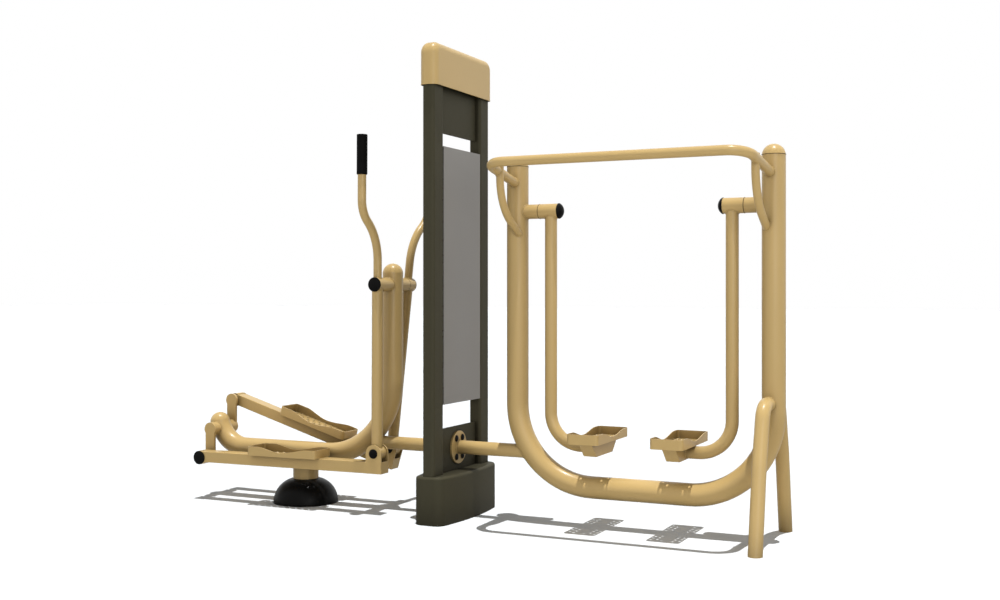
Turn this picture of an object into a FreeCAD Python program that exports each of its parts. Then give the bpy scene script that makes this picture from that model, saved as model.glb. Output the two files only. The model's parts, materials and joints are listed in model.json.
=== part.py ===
import FreeCAD, Part
import math
import os

# Outdoor exercise station: a sign pillar that carries an air walker on its right
# and an elliptical cross trainer on its left.
# All lengths are in millimetres and all angles in degrees.
# The origin is on the ground under the middle of the pillar. X runs along the station
# from the cross trainer to the air walker, Y runs away from the front and Z is up.

# Pillar
UPRIGHT_DEPTH = 54.0
UPRIGHT_WIDTH = 90.0
UPRIGHT_WALL = 4.0
UPRIGHT_CORNER = 14.0
UPRIGHT_BELOW_TOP = 72.0
PILLAR_TOP = 1972.0
PILLAR_WIDTH = 515.0
BASE_PLATE_THICKNESS = 12.0
ANCHOR_SPACING_X = 120.0
ANCHOR_SPACING_Y = 140.0
ANCHOR_HOLE_RADIUS = 9.0
PLINTH_HEIGHT = 198.0
PLINTH_LENGTH = 530.0
PLINTH_END_WIDTH = 120.0
PLINTH_MIDDLE_WIDTH = 174.0
PLINTH_WALL = 4.0
PLINTH_CORNER = 40.0
PLINTH_TOP_EDGE = 12.0
COVER_CLEARANCE = 0.5
HEADER_BOTTOM = 1610.0
HEADER_THICKNESS = 8.0
LOWER_PLATE_TOP = 382.0
LOWER_PLATE_THICKNESS = 6.0
PANEL_BOTTOM = 485.0
PANEL_TOP = 1552.0
PANEL_SHEET = 3.0
PANEL_BAR_WIDTH = 30.0
PANEL_BAR_WALL = 3.0
CAP_HEIGHT = 177.0
CAP_DEPTH = 80.0
CAP_WALL = 2.5
CAP_END_CLEARANCE = 4.0
CAP_END_ROUND = 45.0
CAP_EDGE_ROUND = 30.0

# Links between the pillar and the two machines
LINK_HEIGHT = 291.0
LINK_RADIUS = 28.5
LINK_WALL = 3.5
FLANGE_RADIUS = 69.5
FLANGE_THICKNESS = 8.0
FLANGE_BOLT_SPACING_Y = 54.0
FLANGE_BOLT_SPACING_Z = 78.0
FLANGE_BOLT_RADIUS = 7.0
FLANGE_BOLT_CLEARANCE = 0.5
BOLT_CAP_RADIUS = 13.5
BOLT_CAP_RIM = 4.0
BOLT_CAP_CROWN = 4.5

# Main tubes, which both machines share
FRAME_RADIUS = 45.0
FRAME_WALL = 4.0
DOME_HEIGHT = 41.0

# Pivots, whose shafts, bearings and hubs both machines share
SHAFT_RADIUS = 12.5
BEARING_RADIUS = 26.0
BEARING_WIDTH = 15.0
BEARING_INSET = 3.0
BEARING_FIT = 0.05
HUB_RADIUS = 31.0
SIDE_CLEARANCE = 0.5
HUB_CAP_RIM = 3.0
HUB_CAP_CROWN = 2.5
END_DISC_THICKNESS = 8.0

# Foot trays, which both machines share
TRAY_LENGTH = 360.0
TRAY_WIDTH = 131.0
TRAY_HEIGHT = 40.0
TRAY_WALL = 3.0
TRAY_CORNER = 14.0
TRAY_DIP_HEIGHT = 19.0
TRAY_RISE_HEIGHT = 35.0
TRAY_FRONT_HEIGHT = 37.0
TRAY_RIM_BREAK = 114.0
TRAY_DIP_PLACE = 12.5
TRAY_RISE_PLACE = 110.0
TRAY_HOLE_RADIUS = 5.0
TRAY_HOLE_PITCH = 33.0
TRAY_HOLE_COUNT = 10
TRAY_COLUMN_PITCH = 22.0
TRAY_COLUMN_COUNT = 6

# Air walker
WALKER_LEFT = 285.0
WALKER_RIGHT = 1348.0
WALKER_BOTTOM = 161.0
WALKER_BEND = 328.0
WALKER_SEAM = 1470.0
RAIL_RADIUS = 19.0
RAIL_WALL = 3.0
RAIL_FRONT = 345.0
RAIL_BELOW_SEAM = 15.0
RAIL_CORNER = 82.0
RAIL_CORNER_INSET = 18.0
RAIL_POST_INSET = 5.0
RAIL_POST_FRONT = 45.0
RAIL_DROP = 54.0
BRACE_RADIUS = 15.5
BRACE_WALL = 2.5
BRACE_INSET = 19.0
BRACE_FRONT = 213.0
BRACE_TURN_DROP = 162.0
BRACE_POST_DROP = 281.0
BRACE_BEND = 198.0
LEG_RADIUS = 27.0
LEG_WALL = 3.5
LEG_INSET = 10.0
LEG_TOP = 526.0
LEG_SHOULDER = (128.0, 534.0)
LEG_SHOULDER_BEND = 70.0
LEG_KNEE = (192.0, 320.0)
LEG_KNEE_BEND = 400.0
LEG_SPREAD = 256.0
LEG_OVERRUN = 40.0
SWING_BELOW_SEAM = 188.0
SWING_STUB_RADIUS = 30.0
SWING_STUB_WALL = 4.0
SWING_STUB_END = 386.0
SWING_MIDDLE_SHIFT = 4.5
SWING_HUB_RADIUS = 30.5
SWING_HUB_LENGTH = 83.0
SWING_CAP_LIP = 1.5
SWING_CAP_CROWN = 18.0
SWING_LEG_RADIUS = 25.0
SWING_LEG_WALL = 3.5
SWING_LEG_PLACE = 435.0
SWING_LEG_BEND = 130.0
SWING_LEG_BOTTOM = 326.5
WALKER_TRAY_PLACE = 642.0
WALKER_TRAY_FRONT = 5.0
WALKER_TRAY_BOTTOM = 354.0
BRACKET_WIDTH = 54.0
BRACKET_TOP_LENGTH = 300.0
BRACKET_BOTTOM_LENGTH = 184.0
BRACKET_HEIGHT = 56.0
BRACKET_WALL = 4.0

# Cross trainer
TRAINER_POST = -315.0
TRAINER_BOTTOM = 228.0
TRAINER_FRONT_BEND = 340.0
TRAINER_REAR_BEND = 157.0
TRAINER_REAR_BEND_START = -1104.0
TRAINER_REAR_TURN = 74.0
TRAINER_REAR_STRAIGHT = 3.0
TRAINER_POST_SEAM = 1034.0
FOOT_PLACE = -771.0
FOOT_POST_RADIUS = 57.0
FOOT_POST_WALL = 4.5
FOOT_FLANGE_RADIUS = 118.0
FOOT_FLANGE_THICKNESS = 12.0
FOOT_BOLT_CIRCLE = 180.0
FOOT_BOLT_COUNT = 4
FOOT_BOLT_ANGLE = 45.0
FOOT_DOME_RADIUS = 144.5
FOOT_DOME_HEIGHT = 108.0
FOOT_DOME_WALL = 4.0
FOOT_DOME_RIM = 10.0
FOOT_DOME_BULGE_PLACE = 0.615
FOOT_DOME_BULGE_HEIGHT = 0.72
LANE_PLACE = 129.0
LEVER_AXLE_BELOW_SEAM = 52.0
LEVER_HUB_LENGTH = 49.0
AXLE_HOUSING_RADIUS = 30.0
AXLE_HOUSING_WALL = 4.0
LEVER_RADIUS = 24.0
LEVER_WALL = 3.5
LEVER_END_RADIUS = 32.0
LEVER_END_BORE = 24.0
HANDLE_RADIUS = 18.0
HANDLE_WALL = 3.0
HANDLE_LOWER_TURN = 196.0
HANDLE_UPPER_TURN = 303.0
HANDLE_SPREAD = 128.0
HANDLE_LOWER_BEND = 200.0
HANDLE_UPPER_BEND = 110.0
HANDLE_TOP = 624.0
GRIP_RADIUS = 22.5
GRIP_BOTTOM = 459.0
GRIP_TOP = 627.0
GRIP_EDGE = 3.0
CRANK_PLACE = -1247.0
CRANK_HEIGHT = 313.0
CRANK_THROW = 122.0
CRANK_INNER_FACE = 73.0
CRANK_THICKNESS = 12.0
CRANK_OUTER_WALL = 4.0
CRANK_HEAD_RADIUS = 31.0
CRANK_ARM_WIDTH = 50.0
CRANK_BOSS_RADIUS = 21.0
CRANK_HOUSING_BORE = 23.5
CRANK_BEARING_WIDTH = 12.0
BEAM_WIDTH = 62.0
BEAM_HEIGHT = 50.0
BEAM_WALL = 4.0
BEAM_CORNER = 3.0
BEAM_TOP_TO_PIVOT = 35.0
BEAM_PIN_TO_PIVOT = 65.0
EAR_THICKNESS = 6.0
EAR_RADIUS = 38.0
EAR_POCKET_RADIUS = 35.0
CLEVIS_PIN_RADIUS = 9.0
CLEVIS_CAP_RADIUS = 20.0
SIDES = {
    "near": {"side": -1, "lever_length": 721.0, "lean": 0.24, "crank_up": -1, "tray_place": 474.0},
    "far": {"side": 1, "lever_length": 738.0, "lean": 6.2, "crank_up": 1, "tray_place": 465.0},
}

# Values that follow from the sizes above
UPRIGHT_OUTER = PILLAR_WIDTH / 2
UPRIGHT_INNER = UPRIGHT_OUTER - UPRIGHT_WIDTH
UPRIGHT_TOP = PILLAR_TOP - UPRIGHT_BELOW_TOP
CAP_BOTTOM = PILLAR_TOP - CAP_HEIGHT
WALKER_MIDDLE = (WALKER_LEFT + WALKER_RIGHT) / 2
SWING_MIDDLE = WALKER_MIDDLE - SWING_MIDDLE_SHIFT
RAIL_HEIGHT = WALKER_SEAM - RAIL_BELOW_SEAM
RAIL_POST_HEIGHT = RAIL_HEIGHT - RAIL_DROP
BRACE_TURN_HEIGHT = RAIL_HEIGHT - BRACE_TURN_DROP
BRACE_POST_HEIGHT = RAIL_HEIGHT - BRACE_POST_DROP
SWING_HEIGHT = WALKER_SEAM - SWING_BELOW_SEAM
LEVER_AXLE_HEIGHT = TRAINER_POST_SEAM - LEVER_AXLE_BELOW_SEAM
LANE_INNER = LANE_PLACE - LEVER_HUB_LENGTH / 2
BEARING_BORE = BEARING_RADIUS + BEARING_FIT
CRANK_OUTER_FACE = CRANK_INNER_FACE + CRANK_THICKNESS
CRANK_BORE_END = CRANK_OUTER_FACE - CRANK_OUTER_WALL
X_AXIS = FreeCAD.Vector(1, 0, 0)
Y_AXIS = FreeCAD.Vector(0, 1, 0)
Z_AXIS = FreeCAD.Vector(0, 0, 1)


def point(x, y, z):
    return FreeCAD.Vector(x, y, z)


def rod(start, end, radius):
    """Round bar from one point to another."""
    line = end.sub(start)
    return Part.makeCylinder(radius, line.Length, start, line)


def ring(start, end, outer_radius, inner_radius):
    """Round tube from one point to another."""
    return rod(start, end, outer_radius).cut(rod(start, end, inner_radius))


def block(low, high):
    """Box between two opposite corners."""
    size = high.sub(low)
    return Part.makeBox(size.x, size.y, size.z, low)


def prism(corners, direction):
    """Straight prism over a closed outline of corners."""
    outline = Part.makePolygon(corners + [corners[0]])
    return Part.Face(outline).extrude(direction)


def round_along(shape, axis, radius):
    """Round every straight edge that runs along the axis."""
    edges = []
    for edge in shape.Edges:
        if edge.Curve.TypeId != "Part::GeomLine":
            continue
        if edge.tangentAt(edge.FirstParameter).cross(axis).Length < 1e-6:
            edges.append(edge)
    return shape.makeFillet(radius, edges)


def cut_all(shape, tools):
    for tool in tools:
        shape = shape.cut(tool)
    return shape


def fuse_all(shapes):
    whole = shapes[0]
    for shape in shapes[1:]:
        whole = whole.fuse(shape)
    return whole.removeSplitter()


def largest(shape):
    """The biggest solid of a shape, without the offcuts of its cuts."""
    return max(shape.Solids, key=lambda solid: solid.Volume)


def rounded_path(corners, bends):
    """Wire of straight runs, with a tangent arc of each bend radius at the inner corners."""
    edges = []
    start = corners[0]
    for index, bend in enumerate(bends):
        corner = corners[index + 1]
        back = corners[index].sub(corner).normalize()
        ahead = corners[index + 2].sub(corner).normalize()
        turn = math.pi - back.getAngle(ahead)
        reach = bend * math.tan(turn / 2)
        arc_start = corner + back * reach
        arc_end = corner + ahead * reach
        middle_line = (back + ahead).normalize()
        centre = corner + middle_line * (bend / math.cos(turn / 2))
        arc_middle = centre - middle_line * bend
        edges.append(Part.LineSegment(start, arc_start).toShape())
        edges.append(Part.Arc(arc_start, arc_middle, arc_end).toShape())
        start = arc_end
    edges.append(Part.LineSegment(start, corners[-1]).toShape())
    return Part.Wire(edges)


def bent_rod(corners, bends, radius):
    """Round bar along a path of straight runs and tangent arcs."""
    direction = corners[1].sub(corners[0])
    section = Part.Wire([Part.Circle(corners[0], direction, radius).toShape()])
    return rounded_path(corners, bends).makePipeShell([section], True, False)


def bent_tube(corners, bends, radius, wall):
    """Round tube along a path of straight runs and tangent arcs."""
    return bent_rod(corners, bends, radius).cut(bent_rod(corners, bends, radius - wall))


def sphere_cap(base, direction, radius, height):
    """Part of a ball that stands on a round base."""
    ball_radius = (radius ** 2 + height ** 2) / (2 * height)
    axis = point(*direction).normalize()
    ball = Part.makeSphere(ball_radius, base + axis * (height - ball_radius))
    return ball.common(Part.makeCylinder(radius, 2 * height, base, axis))


def domed_disc(base, direction, radius, rim, crown):
    """Disc with a straight rim and a slightly domed face."""
    axis = point(*direction).normalize()
    disc = Part.makeCylinder(radius, rim, base, axis)
    return disc.fuse(sphere_cap(base + axis * rim, axis, radius, crown)).removeSplitter()


def across(place, height, start, end, radius):
    """Round bar along Y between two distances from the middle plane."""
    return rod(point(place, start, height), point(place, end, height), radius)


def along(place, height, start, end, radius):
    """Round bar along X between two places."""
    return rod(point(start, place, height), point(end, place, height), radius)


def tilted(shape, place, height, angle):
    """Shape turned about a Y line through a place and a height."""
    turned = shape.copy()
    turned.rotate(point(place, 0, height), Y_AXIS, angle)
    return turned


def walker_mirror(shape):
    """Shape mirrored about the middle plane of the air walker."""
    return shape.mirror(point(WALKER_MIDDLE, 0, 0), X_AXIS)


def swing_mirror(shape):
    """Shape mirrored about the plane midway between the two swings."""
    return shape.mirror(point(SWING_MIDDLE, 0, 0), X_AXIS)


# Pillar


def lens_prism(inset, bottom, top):
    """Upright prism whose long sides bulge outwards, used by the plinth and its plate."""
    end = PLINTH_LENGTH / 2 - inset
    narrow = PLINTH_END_WIDTH / 2 - inset
    wide = PLINTH_MIDDLE_WIDTH / 2 - inset
    right = Part.Arc(point(narrow, -end, bottom), point(wide, 0, bottom), point(narrow, end, bottom))
    left = Part.Arc(point(-narrow, end, bottom), point(-wide, 0, bottom), point(-narrow, -end, bottom))
    rear = Part.LineSegment(point(narrow, end, bottom), point(-narrow, end, bottom))
    front = Part.LineSegment(point(-narrow, -end, bottom), point(narrow, -end, bottom))
    outline = Part.Wire([right.toShape(), rear.toShape(), left.toShape(), front.toShape()])
    solid = Part.Face(outline).extrude(point(0, 0, top - bottom))
    return round_along(solid, Z_AXIS, PLINTH_CORNER - inset)


def upright_outline(side, grow, bottom, top):
    """Solid bar with the outside shape of one upright, grown by a clearance."""
    middle = side * (UPRIGHT_OUTER + UPRIGHT_INNER) / 2
    depth = UPRIGHT_DEPTH / 2 + grow
    width = UPRIGHT_WIDTH / 2 + grow
    bar = block(point(-depth, middle - width, bottom), point(depth, middle + width, top))
    return round_along(bar, Z_AXIS, UPRIGHT_CORNER + grow)


def upright(side):
    hollow = upright_outline(side, -UPRIGHT_WALL, BASE_PLATE_THICKNESS, UPRIGHT_TOP)
    return upright_outline(side, 0, BASE_PLATE_THICKNESS, UPRIGHT_TOP).cut(hollow)


def base_plate():
    inset = PLINTH_WALL + COVER_CLEARANCE
    plate = lens_prism(inset, 0, BASE_PLATE_THICKNESS)
    for side_x in (-1, 1):
        for side_y in (-1, 1):
            hole = point(side_x * ANCHOR_SPACING_X / 2, side_y * ANCHOR_SPACING_Y / 2, 0)
            top = hole + point(0, 0, BASE_PLATE_THICKNESS)
            plate = plate.cut(rod(hole, top, ANCHOR_HOLE_RADIUS))
    return plate


def plinth_body(inset):
    """Block with the plinth's outline and a round top edge."""
    top = PLINTH_HEIGHT - inset
    body = lens_prism(inset, 0, top)
    top_edges = [edge for edge in body.Edges if edge.CenterOfMass.z > top - 1e-3]
    return body.makeFillet(PLINTH_TOP_EDGE - inset, top_edges)


def plinth_cover():
    plate = LOWER_PLATE_THICKNESS / 2 + COVER_CLEARANCE
    slot = block(point(-plate, -UPRIGHT_INNER, 0), point(plate, UPRIGHT_INNER, PLINTH_HEIGHT))
    posts = [upright_outline(side, COVER_CLEARANCE, 0, PLINTH_HEIGHT) for side in (-1, 1)]
    return cut_all(plinth_body(0).cut(plinth_body(PLINTH_WALL)), posts + [slot])


def header_plate():
    half = HEADER_THICKNESS / 2
    top = PILLAR_TOP - CAP_WALL
    return block(point(-half, -UPRIGHT_INNER, HEADER_BOTTOM), point(half, UPRIGHT_INNER, top))


def lower_plate():
    half = LOWER_PLATE_THICKNESS / 2
    low = point(-half, -UPRIGHT_INNER, BASE_PLATE_THICKNESS)
    plate = block(low, point(half, UPRIGHT_INNER, LOWER_PLATE_TOP))
    return cut_all(plate, flange_bolt_holes())


def panel_frame():
    depth = UPRIGHT_DEPTH / 2 - PANEL_SHEET
    wall = PANEL_BAR_WALL
    bar = PANEL_BAR_WIDTH
    wide = UPRIGHT_INNER
    whole = block(point(-depth, -wide, PANEL_BOTTOM), point(depth, wide, PANEL_TOP))
    window = block(point(-depth, bar - wide, PANEL_BOTTOM + bar), point(depth, wide - bar, PANEL_TOP - bar))
    groove_low = point(wall - depth, wall - wide, PANEL_BOTTOM + wall)
    groove = block(groove_low, point(depth - wall, wide - wall, PANEL_TOP - wall))
    return whole.cut(window).cut(groove)


def sign_sheets():
    face = UPRIGHT_DEPTH / 2
    sheets = []
    for low_x in (-face, face - PANEL_SHEET):
        low = point(low_x, -UPRIGHT_INNER, PANEL_BOTTOM)
        sheets.append(block(low, point(low_x + PANEL_SHEET, UPRIGHT_INNER, PANEL_TOP)))
    return Part.makeCompound(sheets)


def cap_body(inset, bottom):
    """Bar with two large rounds at its ends and a smaller one along both its outlines."""
    depth = CAP_DEPTH / 2 - inset
    end = UPRIGHT_OUTER + CAP_END_CLEARANCE + CAP_WALL - inset
    top = PILLAR_TOP - inset
    body = block(point(-depth, -end, bottom), point(depth, end, top))
    ends = [edge for edge in body.Edges if edge.CenterOfMass.z > top - 1e-3
            and abs(edge.CenterOfMass.x) < 1e-3]
    body = body.makeFillet(CAP_END_ROUND - inset, ends)
    outline = [edge for edge in body.Edges if abs(abs(edge.CenterOfMass.x) - depth) < 1e-3
               and edge.CenterOfMass.z > bottom + 1e-3]
    return body.makeFillet(CAP_EDGE_ROUND - inset, outline)


def pillar_cap():
    return cap_body(0, CAP_BOTTOM).cut(cap_body(CAP_WALL, CAP_BOTTOM))


# Links


def flange_bolt_places():
    places = []
    for side_y in (-1, 1):
        for side_z in (-1, 1):
            height = LINK_HEIGHT + side_z * FLANGE_BOLT_SPACING_Z / 2
            places.append((side_y * FLANGE_BOLT_SPACING_Y / 2, height))
    return places


def flange_bolt_holes():
    reach = LOWER_PLATE_THICKNESS / 2 + FLANGE_THICKNESS
    radius = FLANGE_BOLT_RADIUS + FLANGE_BOLT_CLEARANCE
    return [along(place, height, -reach, reach, radius) for place, height in flange_bolt_places()]


def link_flanges():
    near = LOWER_PLATE_THICKNESS / 2
    far = near + FLANGE_THICKNESS
    flanges = []
    for start, end in ((-far, -near), (near, far)):
        flanges.append(cut_all(along(0, LINK_HEIGHT, start, end, FLANGE_RADIUS), flange_bolt_holes()))
    return Part.makeCompound(flanges)


def flange_bolts():
    reach = LOWER_PLATE_THICKNESS / 2 + FLANGE_THICKNESS
    bolts = []
    for place, height in flange_bolt_places():
        shank = along(place, height, -reach, reach, FLANGE_BOLT_RADIUS)
        caps = []
        for side in (-1, 1):
            base = point(side * reach, place, height)
            caps.append(domed_disc(base, X_AXIS * side, BOLT_CAP_RADIUS, BOLT_CAP_RIM, BOLT_CAP_CROWN))
        bolts.append(fuse_all([shank] + caps))
    return Part.makeCompound(bolts)


def link_tube(side, frame_rod, reach):
    """Tube from one flange to the main tube of the machine on that side."""
    start = side * (LOWER_PLATE_THICKNESS / 2 + FLANGE_THICKNESS)
    tube = ring(point(start, 0, LINK_HEIGHT), point(reach, 0, LINK_HEIGHT), LINK_RADIUS,
                LINK_RADIUS - LINK_WALL)
    pieces = tube.cut(frame_rod).Solids
    return min(pieces, key=lambda piece: abs(piece.CenterOfMass.x))


def dome_cap(base, direction):
    outer = sphere_cap(base, direction, FRAME_RADIUS, DOME_HEIGHT)
    inner = sphere_cap(base, direction, FRAME_RADIUS - FRAME_WALL, DOME_HEIGHT - FRAME_WALL)
    return outer.cut(inner)


def post_domes():
    """Domes on the ends of both main tubes, the rear one notched around the crank housing."""
    domes = [dome_cap(point(WALKER_LEFT, 0, WALKER_SEAM), Z_AXIS)]
    domes.append(dome_cap(point(WALKER_RIGHT, 0, WALKER_SEAM), Z_AXIS))
    domes.append(dome_cap(point(TRAINER_POST, 0, TRAINER_POST_SEAM), Z_AXIS))
    rear = dome_cap(trainer_corners()[-1], trainer_rear_direction())
    domes.append(largest(rear.cut(crank_housing_rod())))
    return Part.makeCompound(domes)


# Foot trays


def tray_wave(level):
    """Outline above the wavy rim of a tray, in the tray's own length and height."""
    half = TRAY_LENGTH / 2
    rim = [point(-half, 0, TRAY_HEIGHT), point(-TRAY_RIM_BREAK, 0, TRAY_HEIGHT)]
    rim += [point(-TRAY_DIP_PLACE, 0, TRAY_DIP_HEIGHT)]
    rim += [point(TRAY_RISE_PLACE, 0, TRAY_RISE_HEIGHT), point(half, 0, TRAY_FRONT_HEIGHT)]
    curve = Part.BSplineCurve()
    curve.interpolate(rim, InitialTangent=X_AXIS, FinalTangent=X_AXIS)
    high_start = point(-half, 0, level)
    high_end = point(half, 0, level)
    edges = [curve.toShape(), Part.LineSegment(rim[-1], high_end).toShape()]
    edges += [Part.LineSegment(high_end, high_start).toShape()]
    edges += [Part.LineSegment(high_start, rim[0]).toShape()]
    return Part.Face(Part.Wire(edges))


def tray_hole_places():
    """Staggered lines of drain holes along the tray, with one hole less in every second line."""
    places = []
    for column in range(TRAY_COLUMN_COUNT):
        y = (column - (TRAY_COLUMN_COUNT - 1) / 2) * TRAY_COLUMN_PITCH
        holes = TRAY_HOLE_COUNT - column % 2
        for hole in range(holes):
            places.append(((hole - (holes - 1) / 2) * TRAY_HOLE_PITCH, y))
    return places


def foot_tray():
    """Tray with its length along X and the middle of its floor's underside at the origin."""
    half_length = TRAY_LENGTH / 2
    half_width = TRAY_WIDTH / 2
    wall = TRAY_WALL
    body = block(point(-half_length, -half_width, 0), point(half_length, half_width, TRAY_HEIGHT))
    body = round_along(body, Z_AXIS, TRAY_CORNER)
    hollow = block(point(wall - half_length, wall - half_width, wall),
                   point(half_length - wall, half_width - wall, TRAY_HEIGHT))
    hollow = round_along(hollow, Z_AXIS, TRAY_CORNER - wall)
    wave = tray_wave(2 * TRAY_HEIGHT)
    wave.translate(point(0, -TRAY_WIDTH, 0))
    wave = wave.extrude(point(0, 2 * TRAY_WIDTH, 0))
    tray = body.cut(hollow).cut(wave)
    holes = [rod(point(x, y, 0), point(x, y, wall), TRAY_HOLE_RADIUS) for x, y in tray_hole_places()]
    return tray.cut(Part.makeCompound(holes))


# Pivots


def bearing_pair(start, end, axis_point, direction):
    """Two bearings on a shaft, inside the two ends of a hub."""
    rings = []
    for low in (start + BEARING_INSET, end - BEARING_INSET - BEARING_WIDTH):
        base = axis_point + direction * low
        outer = rod(base, base + direction * BEARING_WIDTH, BEARING_RADIUS)
        rings.append(outer.cut(rod(base, base + direction * BEARING_WIDTH, SHAFT_RADIUS)))
    return rings


# Air walker


def walker_corners():
    return [point(WALKER_LEFT, 0, WALKER_SEAM), point(WALKER_LEFT, 0, WALKER_BOTTOM),
            point(WALKER_RIGHT, 0, WALKER_BOTTOM), point(WALKER_RIGHT, 0, WALKER_SEAM)]


def walker_rod(radius):
    return bent_rod(walker_corners(), [WALKER_BEND, WALKER_BEND], radius)


def walker_post(place):
    return rod(point(place, 0, WALKER_BOTTOM), point(place, 0, WALKER_SEAM), FRAME_RADIUS)


def rail_corners():
    left_corner = WALKER_LEFT + RAIL_CORNER_INSET
    right_corner = WALKER_RIGHT - RAIL_CORNER_INSET
    slope = (RAIL_HEIGHT - RAIL_POST_HEIGHT) / (RAIL_FRONT - RAIL_POST_FRONT)
    drift = (RAIL_CORNER_INSET - RAIL_POST_INSET) / (RAIL_FRONT - RAIL_POST_FRONT)
    end_height = RAIL_POST_HEIGHT - slope * RAIL_POST_FRONT
    end_inset = RAIL_POST_INSET - drift * RAIL_POST_FRONT
    return [point(WALKER_LEFT + end_inset, 0, end_height),
            point(left_corner, -RAIL_FRONT, RAIL_HEIGHT),
            point(right_corner, -RAIL_FRONT, RAIL_HEIGHT),
            point(WALKER_RIGHT - end_inset, 0, end_height)]


def rail_rod(radius):
    return bent_rod(rail_corners(), [RAIL_CORNER, RAIL_CORNER], radius)


def handrail():
    tube = rail_rod(RAIL_RADIUS).cut(rail_rod(RAIL_RADIUS - RAIL_WALL))
    return largest(cut_all(tube, [walker_post(WALKER_LEFT), walker_post(WALKER_RIGHT)]))


def handrail_braces():
    place = WALKER_LEFT + BRACE_INSET
    corners = [point(place, -BRACE_FRONT, RAIL_HEIGHT), point(place, -BRACE_FRONT, BRACE_TURN_HEIGHT),
               point(place, 0, BRACE_POST_HEIGHT)]
    tube = bent_tube(corners, [BRACE_BEND], BRACE_RADIUS, BRACE_WALL)
    rail = rail_rod(RAIL_RADIUS)
    pieces = tube.cut(walker_post(WALKER_LEFT)).cut(rail)
    brace = largest(pieces)
    return Part.makeCompound([brace, walker_mirror(brace)])


def support_leg(side):
    """Bent tube from the right post to the ground, cut off level there."""
    shoulder_y, shoulder_z = LEG_SHOULDER
    knee_y, knee_z = LEG_KNEE
    slope = (LEG_SPREAD - knee_y) / knee_z
    place = WALKER_RIGHT - LEG_INSET
    corners = [point(place, 0, LEG_TOP), point(place, side * shoulder_y, shoulder_z),
               point(place, side * knee_y, knee_z),
               point(place, side * (LEG_SPREAD + slope * LEG_OVERRUN), -LEG_OVERRUN)]
    tube = bent_tube(corners, [LEG_SHOULDER_BEND, LEG_KNEE_BEND], LEG_RADIUS, LEG_WALL)
    reach = 2 * LEG_SPREAD
    ground = block(point(place - reach, -reach, -reach), point(place + reach, reach, 0))
    return largest(tube.cut(walker_post(WALKER_RIGHT)).cut(ground))


def swing_hub_start():
    return SWING_STUB_END + SIDE_CLEARANCE


def swing_hub_end():
    return swing_hub_start() + SWING_HUB_LENGTH


def mirrored_right_post():
    """Place of the right post as the left swing's mirror image sees it."""
    return 2 * SWING_MIDDLE - WALKER_RIGHT


def pivot_stub(post):
    """Fixed tube from a post to the hub, closed by a disc that holds the shaft."""
    tube = along(0, SWING_HEIGHT, post, SWING_STUB_END, SWING_STUB_RADIUS)
    hollow_end = SWING_STUB_END - END_DISC_THICKNESS
    hollow = along(0, SWING_HEIGHT, post, hollow_end, SWING_STUB_RADIUS - SWING_STUB_WALL)
    shaft = along(0, SWING_HEIGHT, post, SWING_STUB_END, SHAFT_RADIUS)
    return largest(cut_all(tube, [hollow, shaft, walker_post(post)]))


def pivot_shaft(post):
    start = post + FRAME_RADIUS
    return along(0, SWING_HEIGHT, start, swing_hub_end() - SIDE_CLEARANCE, SHAFT_RADIUS)


def swing_bearings():
    axis_point = point(0, 0, SWING_HEIGHT)
    return bearing_pair(swing_hub_start(), swing_hub_end(), axis_point, X_AXIS)


def swing_hub():
    start = point(swing_hub_start(), 0, SWING_HEIGHT)
    end = point(swing_hub_end(), 0, SWING_HEIGHT)
    return ring(start, end, SWING_HUB_RADIUS, BEARING_BORE)


def swing_hub_cap():
    base = point(swing_hub_end(), 0, SWING_HEIGHT)
    return domed_disc(base, X_AXIS, SWING_HUB_RADIUS + SWING_CAP_LIP, HUB_CAP_RIM, SWING_CAP_CROWN)


def swing_leg():
    tray_side = WALKER_TRAY_PLACE - BRACKET_WIDTH / 2
    corners = [point(SWING_LEG_PLACE, 0, SWING_HEIGHT), point(SWING_LEG_PLACE, 0, SWING_LEG_BOTTOM),
               point(tray_side, 0, SWING_LEG_BOTTOM)]
    tube = bent_tube(corners, [SWING_LEG_BEND], SWING_LEG_RADIUS, SWING_LEG_WALL)
    hub = along(0, SWING_HEIGHT, swing_hub_start(), swing_hub_end(), SWING_HUB_RADIUS)
    return largest(tube.cut(hub))


def pedal_bracket():
    """Folded box under a tray, open at its top, with sloping ends."""
    top = WALKER_TRAY_BOTTOM
    bottom = top - BRACKET_HEIGHT
    left = WALKER_TRAY_PLACE - BRACKET_WIDTH / 2
    long_half = BRACKET_TOP_LENGTH / 2
    short_half = BRACKET_BOTTOM_LENGTH / 2
    corners = [point(left, -long_half, top), point(left, long_half, top),
               point(left, short_half, bottom), point(left, -short_half, bottom)]
    outer = prism(corners, point(BRACKET_WIDTH, 0, 0))
    wall = BRACKET_WALL
    slant = math.hypot(long_half - short_half, BRACKET_HEIGHT) / BRACKET_HEIGHT
    run = (long_half - short_half) / BRACKET_HEIGHT
    inner_long = long_half - wall * slant
    inner_short = inner_long - run * (BRACKET_HEIGHT - wall)
    inner_corners = [point(left + wall, -inner_long, top), point(left + wall, inner_long, top),
                     point(left + wall, inner_short, bottom + wall),
                     point(left + wall, -inner_short, bottom + wall)]
    return outer.cut(prism(inner_corners, point(BRACKET_WIDTH - 2 * wall, 0, 0)))


def walker_tray():
    tray = foot_tray()
    tray.rotate(point(0, 0, 0), Z_AXIS, 90)
    tray.translate(point(WALKER_TRAY_PLACE, -WALKER_TRAY_FRONT, WALKER_TRAY_BOTTOM))
    return tray


# Cross trainer frame


def trainer_rear_direction():
    turn = math.radians(TRAINER_REAR_TURN)
    return point(-math.cos(turn), 0, math.sin(turn))


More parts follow.
